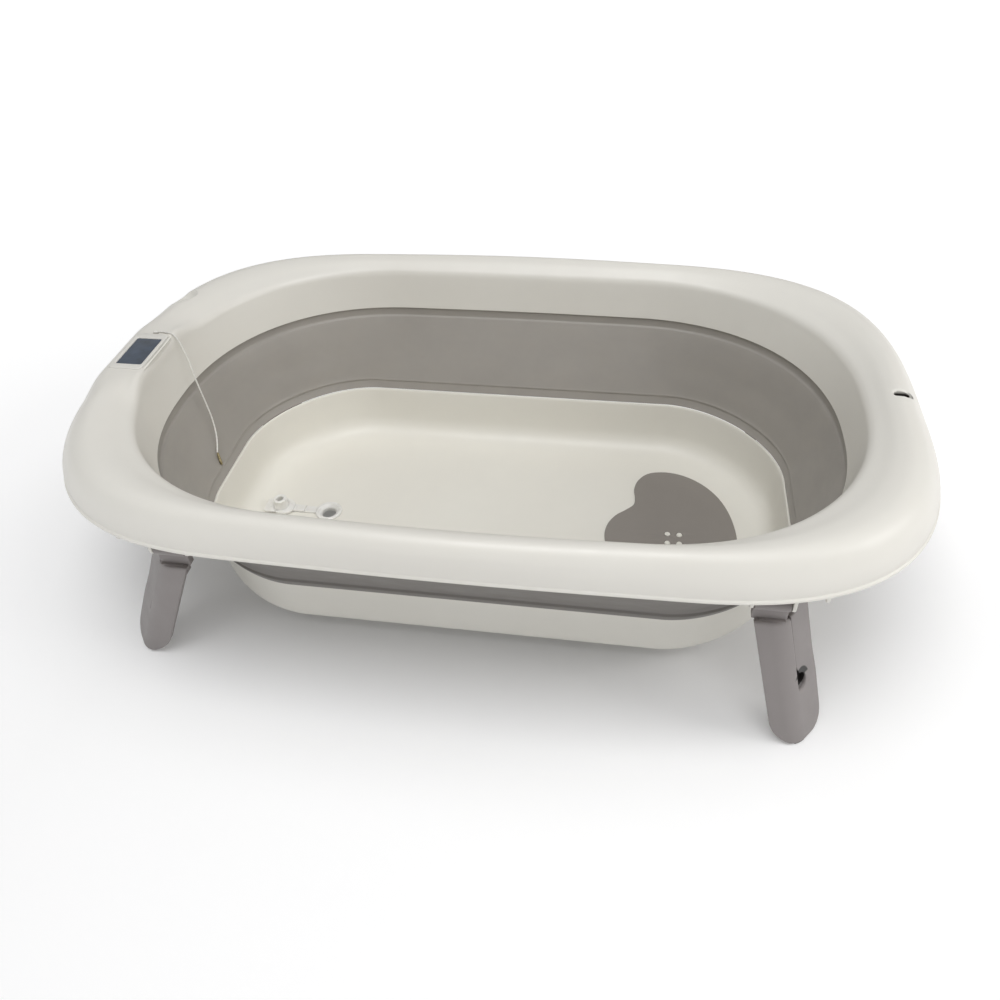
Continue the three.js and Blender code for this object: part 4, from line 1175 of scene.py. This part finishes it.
tab = plate("tab", [round_profile([(D["capx"] - 22.4, -10.9), (D["capx"] - 4, -10.9), (D["capx"] - 4, 10.9), (D["capx"] - 22.4, 10.9)], [3, 1, 1, 3], 5)], 28.2, 30.4, 0.5, res=2)
cap_parts.append(mapped(tab, lambda c: c * MM))
for m in cap_parts:
    orient(m)
piece("drain_cap_soft", joined("cap", cap_parts), MAT["silicone"], "plug", ["drain_cap"], angle=40)

# ------------------------------------------------------------------ thermometer
NB = 120


def bz(w, l, r, z):
    p = rounded_rect(w, l, r, NB)
    return np.column_stack([p[:, 0] + T_X, p[:, 1] + T_Y, np.full(NB, z)]) * MM


rows = []
for inset, z in ((0.15, 233.85), (0.0, 234.2), (0.0, 238.2), (0.12, 238.55), (0.4, 238.85), (0.8, 239.0)):
    rows.append(bz(T_W - 2 * inset, T_L - 2 * inset, 5 - inset, z))
for grow, z in ((1.7, 239.0), (1.1, 238.95), (0.6, 238.7), (0.25, 238.35), (0.0, 237.9), (0.0, 234.0)):
    rows.append(bz(27.8 + 2 * grow, 48.8 + 2 * grow, 1.2 + grow, z))
rows.append(bz(27.9, 48.9, 1.2, 233.85))
piece("bezel_moulding", loft("bezel", rows, wrap=True), MAT["bezel"], "rim", ["thermo_bezel"], angle=40)
win = fillet_prism("win", rr_fn(27.2, 48.2, 0.9), 236.2, 238.15, 0.1, 0.35, n=96, steps=4, centre=(T_X, T_Y))
piece("window_glass", win, MAT["window"], "rim", ["thermo_window"], angle=40)
# sleeve round the lead where it leaves the bezel
prof = [(0.93, -1.2), (1.28, -1.15), (1.4, -0.8), (1.4, 1.6), (1.25, 2.2), (1.05, 3.6), (0.93, 3.9)]
th = np.arange(32) * 2 * math.pi / 32
rows = [np.column_stack([np.full(32, T_X + h), 33.6 + r * np.cos(th), 239.0 + r * np.sin(th)]) * MM for r, h in prof]
piece("grommet_sleeve", loft("grommet", rows, wrap=False, cap_start=True, cap_end=True), MAT["white"], "rim", ["wire_grommet"], angle=40)

# ------------------------------------------------------------------ legs
LG = dict(pz=150.0, fy=215.5, corner=24.0, slit=33.0, turn=0.9, bend=22.0, t=8.0, bot=30.0, top=161.0, gap=2.4)
SIDE = {1: dict(x0=248.4, slope=0.262, splay=0.096, cut=9.0, hole=True), -1: dict(x0=248.0, slope=0.485, splay=-0.082, cut=13.5, hole=False)}
TOTAL = 60.0
NECK0, NECK1 = 246.5, 275.2


def walk(s):
    """Outer face of the bent leg at arc position s: x, y and the inward normal."""
    s = np.asarray(s, float)
    s1 = LG["corner"] - LG["bend"] * math.tan(LG["turn"] / 2)
    s2 = s1 + LG["bend"] * LG["turn"]
    a = np.clip((s - s1) / LG["bend"], 0, LG["turn"])
    x = np.where(s <= s1, s, s1 + LG["bend"] * np.sin(a))
    y = np.where(s <= s1, 0, LG["bend"] * (1 - np.cos(a)))
    d = np.maximum(0, s - s2)
    x = x + d * math.cos(LG["turn"])
    y = y + d * math.sin(LG["turn"])
    return x, y, -np.sin(a), np.cos(a)


def leg_map(V):
    def fn(c):
        """Plate coordinates (s, z, off) to the near right leg, in metres."""
        s, z, off = c[:, 0], c[:, 1], c[:, 2]
        # the corner panel stands back from the edge of the front panel above the end of the slit
        step = 1.5 * smoothstep(z, 66, 104) * (s > LG["slit"] + 0.2)
        x, y, nx, ny = walk(s)
        x0 = V["x0"] + V["slope"] * (LG["pz"] - z)
        y0 = -(LG["fy"] + V["splay"] * (LG["pz"] - z))
        # the top edge of the front panel rolls back
        roll = np.clip((z - 146.2) / 3.8, 0, 1) * (s <= LG["slit"] + 0.2)
        step = step + 1.7 * (1 - np.sqrt(np.clip(1 - roll * roll, 0, 1)))
        o = off + step * np.clip((LG["t"] - off) / LG["t"], 0, 1)
        return np.stack([x0 + x + nx * o, y0 + y + ny * o, z], 1) * MM
    return fn


def leg_outline(V, inset=0.0, top=150.0):
    """Edge of the leg in (s, z), anticlockwise from the top left."""
    R = LG["bot"]
    pts = [(inset, top - inset)]
    zb = LG["gap"] + inset
    n = 22
    # left side down to the rounded foot
    pts.append((inset, 100))
    pts.append((inset, 60))
    pts.append((inset, 40))
    for i in range(n + 1):
        t = i / n * math.pi / 2
        pts.append((R - (R - inset) * max(0.0, math.cos(t)) ** 0.86, max(zb, R - (R - inset) * math.sin(t) ** 0.86)))
    for i in range(n + 1):
        t = math.pi / 2 - i / n * math.pi / 2
        pts.append((TOTAL - R + (R - inset) * max(0.0, math.cos(t)) ** 0.74, max(zb, R - (R - inset) * math.sin(t) ** 0.74)))
    pts.append((TOTAL - inset, 40))
    pts.append((TOTAL - inset, 60))
    pts.append((TOTAL - inset, 100))
    pts.append((TOTAL - inset, LG["top"] - 2.5 - inset))
    pts.append((TOTAL - inset - 2.0, LG["top"] - inset))
    f = LG["slit"]
    # above the panel only the strip clear of the hinge stands up
    pts.append((f + V["cut"] + inset, LG["top"] - inset))
    pts.append((f + V["cut"] + inset, 149.4 - inset))
    pts.append((f + 1.7 + inset, 149.4 - inset))
    pts.append((f + 1.3 + inset, 140))
    pts.append((f + 0.7 + inset, 110))
    pts.append((f + 0.5 + inset, 92))
    if V["hole"]:
        # oval relief with a flat left side
        for i in range(11):
            t = math.radians(78 - i * 15.6)
            pts.append((f + 1.6 + (9.8 + inset) * max(0.0, math.cos(t)), 73.5 + (9.6 + inset) * math.sin(t)))
        pts.append((f - 0.2 - inset, 65.2 - inset))
        pts.append((f - 0.5 - inset, 74))
    else:
        pts.append((f + 0.4 + inset, 70 - inset))
        pts.append((f - 0.5 - inset, 70 - inset))
    pts.append((f - 0.4 - inset, 110))
    pts.append((f - 0.3 - inset, top - 2.6 - inset))
    pts.append((f - 1.0 - inset, top - 0.9 - inset))
    pts.append((f - 2.8 - inset, top - inset))
    return clean(pts)


def leg_meshes(V):
    parts = []
    skin = plate("skin", [leg_outline(V)], 0.0, 3.4, 1.1, res=3)
    lip_in = leg_outline(V, 2.2)
    lip = plate("lip", [leg_outline(V, 0.5), lip_in[::-1]], 2.2, 7.9, 0.2, res=1)
    # ledge that closes the top of the front panel, and the strip behind the slit
    ribs = [plate("ledge", [[(1.4, 146.6), (LG["slit"] - 3.4, 146.6), (LG["slit"] - 3.4, 149.6), (1.4, 149.6)]], 1.2, 7.8, 0.4, res=1),
            plate("strip", [[(LG["slit"] - 3.2, 92), (LG["slit"] + 4.2, 92), (LG["slit"] + 4.2, 147.5), (LG["slit"] - 3.2, 147.5)]], 3.7, 5.2, 0.3, res=1)]
    for z in (30, 52, 128):
        ribs.append(plate("rib", [[(1.2, z - 0.9), (TOTAL - 1.2 if z < 60 else LG["slit"] - 1.6, z - 0.9), (TOTAL - 1.2 if z < 60 else LG["slit"] - 1.6, z + 0.9), (1.2, z + 0.9)]], 2.6, 7.0, 0.3, res=1))
    for s in (14.0, 46.0):
        ribs.append(plate("rib", [[(s - 0.9, 8), (s + 0.9, 8), (s + 0.9, 148 if s < 20 else 62), (s - 0.9, 148 if s < 20 else 62)]], 2.6, 6.6, 0.3, res=1))
    # closed pocket behind the oval relief
    ribs.append(plate("pocket", [[(LG["slit"] - 3.5, 60), (LG["slit"] + 15, 60), (LG["slit"] + 15, 94), (LG["slit"] - 3.5, 94)]], 6.3, 7.6, 0.3, res=1))
    cuts = [(0, float(s)) for s in np.concatenate([np.arange(5, 12, 4.0), np.arange(13.0, 34.2, 1.2), [42, 51]])]
    cuts += [(1, float(z)) for z in [*np.arange(8, 143, 8.0), 143.5, 145.3, 146.6, 147.8, 148.7, 149.3, 155]]
    for m in [skin, lip] + ribs:
        sliced(m, cuts)
        parts.append(orient(mapped(m, leg_map(V))))
    # neck set back from the panel, with the knuckle round the pin
    cy, cz, r = -208.0, 168.0, 6.6
    prof = [(-209.6, 149.2)]
    a0 = math.atan2(-math.sqrt(r * r - 1.6 ** 2), -1.6)
    a1 = math.atan2(-math.sqrt(r * r - 5.6 ** 2), 5.6)
    for i in range(41):
        t = a0 + (a1 - 2 * math.pi - a0) * i / 40
        if a1 > a0:
            t = a0 - (2 * math.pi - (a1 - a0)) * i / 40
        prof.append((cy + r * math.cos(t), cz + r * math.sin(t)))
    prof.append((-202.4, 149.2))
    pin_hole = [(cy + 3.3 * math.cos(t), cz + 3.3 * math.sin(t)) for t in np.arange(32) * 2 * math.pi / 32]
    neck = plate("neck", [clean(prof), pin_hole], NECK0 + 0.1, NECK1 - 0.1, 0.6, res=2)
    parts.append(orient(mapped(neck, lambda c: np.stack([c[:, 2], c[:, 0], c[:, 1]], 1) * MM)))
    # web that ties the neck to the back of the panel
    web = plate("web", [round_profile([(252.4, 138.0), (NECK1 - 0.4, 138.0), (NECK1 - 0.4, 150.4), (252.4, 150.4)], 1.0, 3)], 202.6, 212.4, 0.5, res=1)
    parts.append(orient(mapped(web, lambda c: np.stack([c[:, 0], -c[:, 2], c[:, 1]], 1) * MM)))
    return parts


def mirrored(me, sx, sy, name):
    out = me.copy()
    out.name = name
    mapped(out, lambda c: c * np.array([sx, sy, 1]))
    return out


def sole_mesh(V):
    x0 = V["x0"] + V["slope"] * LG["pz"]
    y0 = -(LG["fy"] + V["splay"] * LG["pz"])
    pts = []
    for off, ss in ((1.3, np.linspace(20.8, 33.2, 9)), (6.7, np.linspace(33.2, 20.8, 9))):
        x, y, nx, ny = walk(ss)
        pts += [(x0 + a + c * off, y0 + b + d * off) for a, b, c, d in zip(x, y, nx, ny)]
    return mapped(plate("sole", [round_profile(pts, [1.4] + [0] * 7 + [1.4, 1.4] + [0] * 7 + [1.4], 4)], 0.0, 2.3, 0.4, res=2), lambda c: c * MM)


leg_me = {k: joined("leg_master", leg_meshes(V)) for k, V in SIDE.items()}
sole_me = {k: sole_mesh(V) for k, V in SIDE.items()}
th = np.arange(36) * 2 * math.pi / 36
pin_prof = [(2.2, 242.1), (2.8, 242.35), (3.0, 242.8), (3.0, 279.1), (2.8, 279.55), (2.2, 279.8)]
pin_me = loft("pin", [np.column_stack([np.full(36, h), -LEG_Y + r * np.cos(th), LEG_Z + r * np.sin(th)]) * MM for r, h in pin_prof], cap_start=True, cap_end=True)
for tag, sx, sy in (("near_right", 1, 1), ("near_left", -1, 1), ("far_right", 1, -1), ("far_left", -1, -1)):
    piece("leg_moulding_" + tag, mirrored(leg_me[sx], sx, sy, "leg_" + tag), MAT["leg"], "leg_" + tag, ["leg_" + tag], angle=38)
    piece("sole_pad_" + tag, mirrored(sole_me[sx], sx, sy, "sole_" + tag), MAT["rubber"], "leg_" + tag, ["foot_sole_" + tag], angle=40)
    piece("pin_rod_" + tag, mirrored(pin_me, sx, sy, "pin_" + tag), MAT["steel"], "rim", ["hinge_pin_" + tag], angle=40)
for m in (*leg_me.values(), *sole_me.values(), pin_me):
    bpy.data.meshes.remove(m)

# ------------------------------------------------------------------ CAD nodes that stay
for node, key in (("thermo_case", "bezel"), ("battery_door", "bezel"), ("coin_cell", "steel"), ("contact_negative", "nickel"), ("contact_positive", "nickel"),
                  ("thermo_board", "board"), ("thermo_lcd", "lcd")):
    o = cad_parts[node]
    o.data.materials.clear()
    o.data.materials.append(MAT[key])

# ------------------------------------------------------------------ stage
WORLD = 0.30
FLOOR_EMIT = (0.05, 0.25)
KEY, TOP, FILL = 12.0, 26.5, 0.8
# painted light: the floor glows, least near the bath and more with distance from it, so it turns white away from the
# bath while the shade round the bath stays; the glow also lights the bath
floor_mat = bpy.data.materials.new("pale_floor")
floor_mat.use_nodes = True
fnt = floor_mat.node_tree
fb = fnt.nodes["Principled BSDF"]
fb.inputs["Base Color"].default_value = (0.82, 0.82, 0.825, 1)
fb.inputs["Roughness"].default_value = 0.9
fb.inputs["Specular IOR Level"].default_value = 0.1
fb.inputs["Emission Color"].default_value = (1, 1, 1, 1)
fco = fnt.nodes.new("ShaderNodeTexCoord")
fln = fnt.nodes.new("ShaderNodeVectorMath")
fln.operation = "LENGTH"
fmp = fnt.nodes.new("ShaderNodeMapping")
fmp.inputs["Scale"].default_value = (0.66, 1.25, 1.0)
fnt.links.new(fco.outputs["Object"], fmp.inputs["Vector"])
fnt.links.new(fmp.outputs[0], fln.inputs[0])
frg = fnt.nodes.new("ShaderNodeMapRange")
frg.interpolation_type = "SMOOTHSTEP"
frg.inputs["From Min"].default_value = 0.22
frg.inputs["From Max"].default_value = 0.46
frg.inputs["To Min"].default_value = FLOOR_EMIT[0]
frg.inputs["To Max"].default_value = FLOOR_EMIT[1]
fnt.links.new(fln.outputs["Value"], frg.inputs["Value"])
fdi = fnt.nodes.new("ShaderNodeVectorMath")
fdi.operation = "DISTANCE"
fdi.inputs[1].default_value = (0.0, -0.4, 0.0)
fnt.links.new(fco.outputs["Object"], fdi.inputs[0])
ffar = fnt.nodes.new("ShaderNodeMapRange")
ffar.inputs["From Min"].default_value = 0.4
ffar.inputs["From Max"].default_value = 2.4
ffar.inputs["To Min"].default_value = 0.0
ffar.inputs["To Max"].default_value = 0.62
fnt.links.new(fdi.outputs["Value"], ffar.inputs["Value"])
fadd = fnt.nodes.new("ShaderNodeMath")
fadd.operation = "ADD"
fnt.links.new(frg.outputs[0], fadd.inputs[0])
fnt.links.new(ffar.outputs[0], fadd.inputs[1])
fnt.links.new(fadd.outputs[0], fb.inputs["Emission Strength"])
me = mesh_from("floor", [(-30, -30, -0.0002), (30, -30, -0.0002), (30, 30, -0.0002), (-30, 30, -0.0002)], [(0, 1, 2, 3)])
me.materials.append(floor_mat)
floor = link("floor", me)

world = bpy.data.worlds.new("studio")
world.use_nodes = True
bg = world.node_tree.nodes["Background"]
bg.inputs[0].default_value = (1, 1, 1, 1)
bg.inputs[1].default_value = WORLD
SC.world = world


def area(name, loc, target, size, power, color=(1, 1, 1), size_y=None):
    li = bpy.data.lights.new(name, "AREA")
    li.shape = "RECTANGLE" if size_y else "SQUARE"
    li.size = size
    if size_y:
        li.size_y = size_y
    li.energy = power
    li.color = color
    o = bpy.data.objects.new(name, li)
    SC.collection.objects.link(o)
    o.location = loc
    o.rotation_mode = "QUATERNION"
    o.rotation_quaternion = (V3(target) - V3(loc)).to_track_quat("-Z", "Y")
    return o


area("key", (1.9, -0.2, 1.25), (0, 0, 0.1), 1.0, KEY, (1.0, 0.985, 0.965), 1.0)
area("top", (0.05, -0.7, 2.15), (0, 0, 0.1), 1.3, TOP, (0.99, 0.995, 1.0), 1.3)
area("fill", (0.2, -2.2, 1.0), (0, 0, 0.15), 1.6, FILL, (1.0, 0.99, 0.98), 1.0)

SC.view_settings.view_transform = "Standard"
SC.view_settings.look = "None"
SC.view_settings.exposure = 0.0
SC.view_settings.gamma = 1.0

bpy.context.view_layer.update()
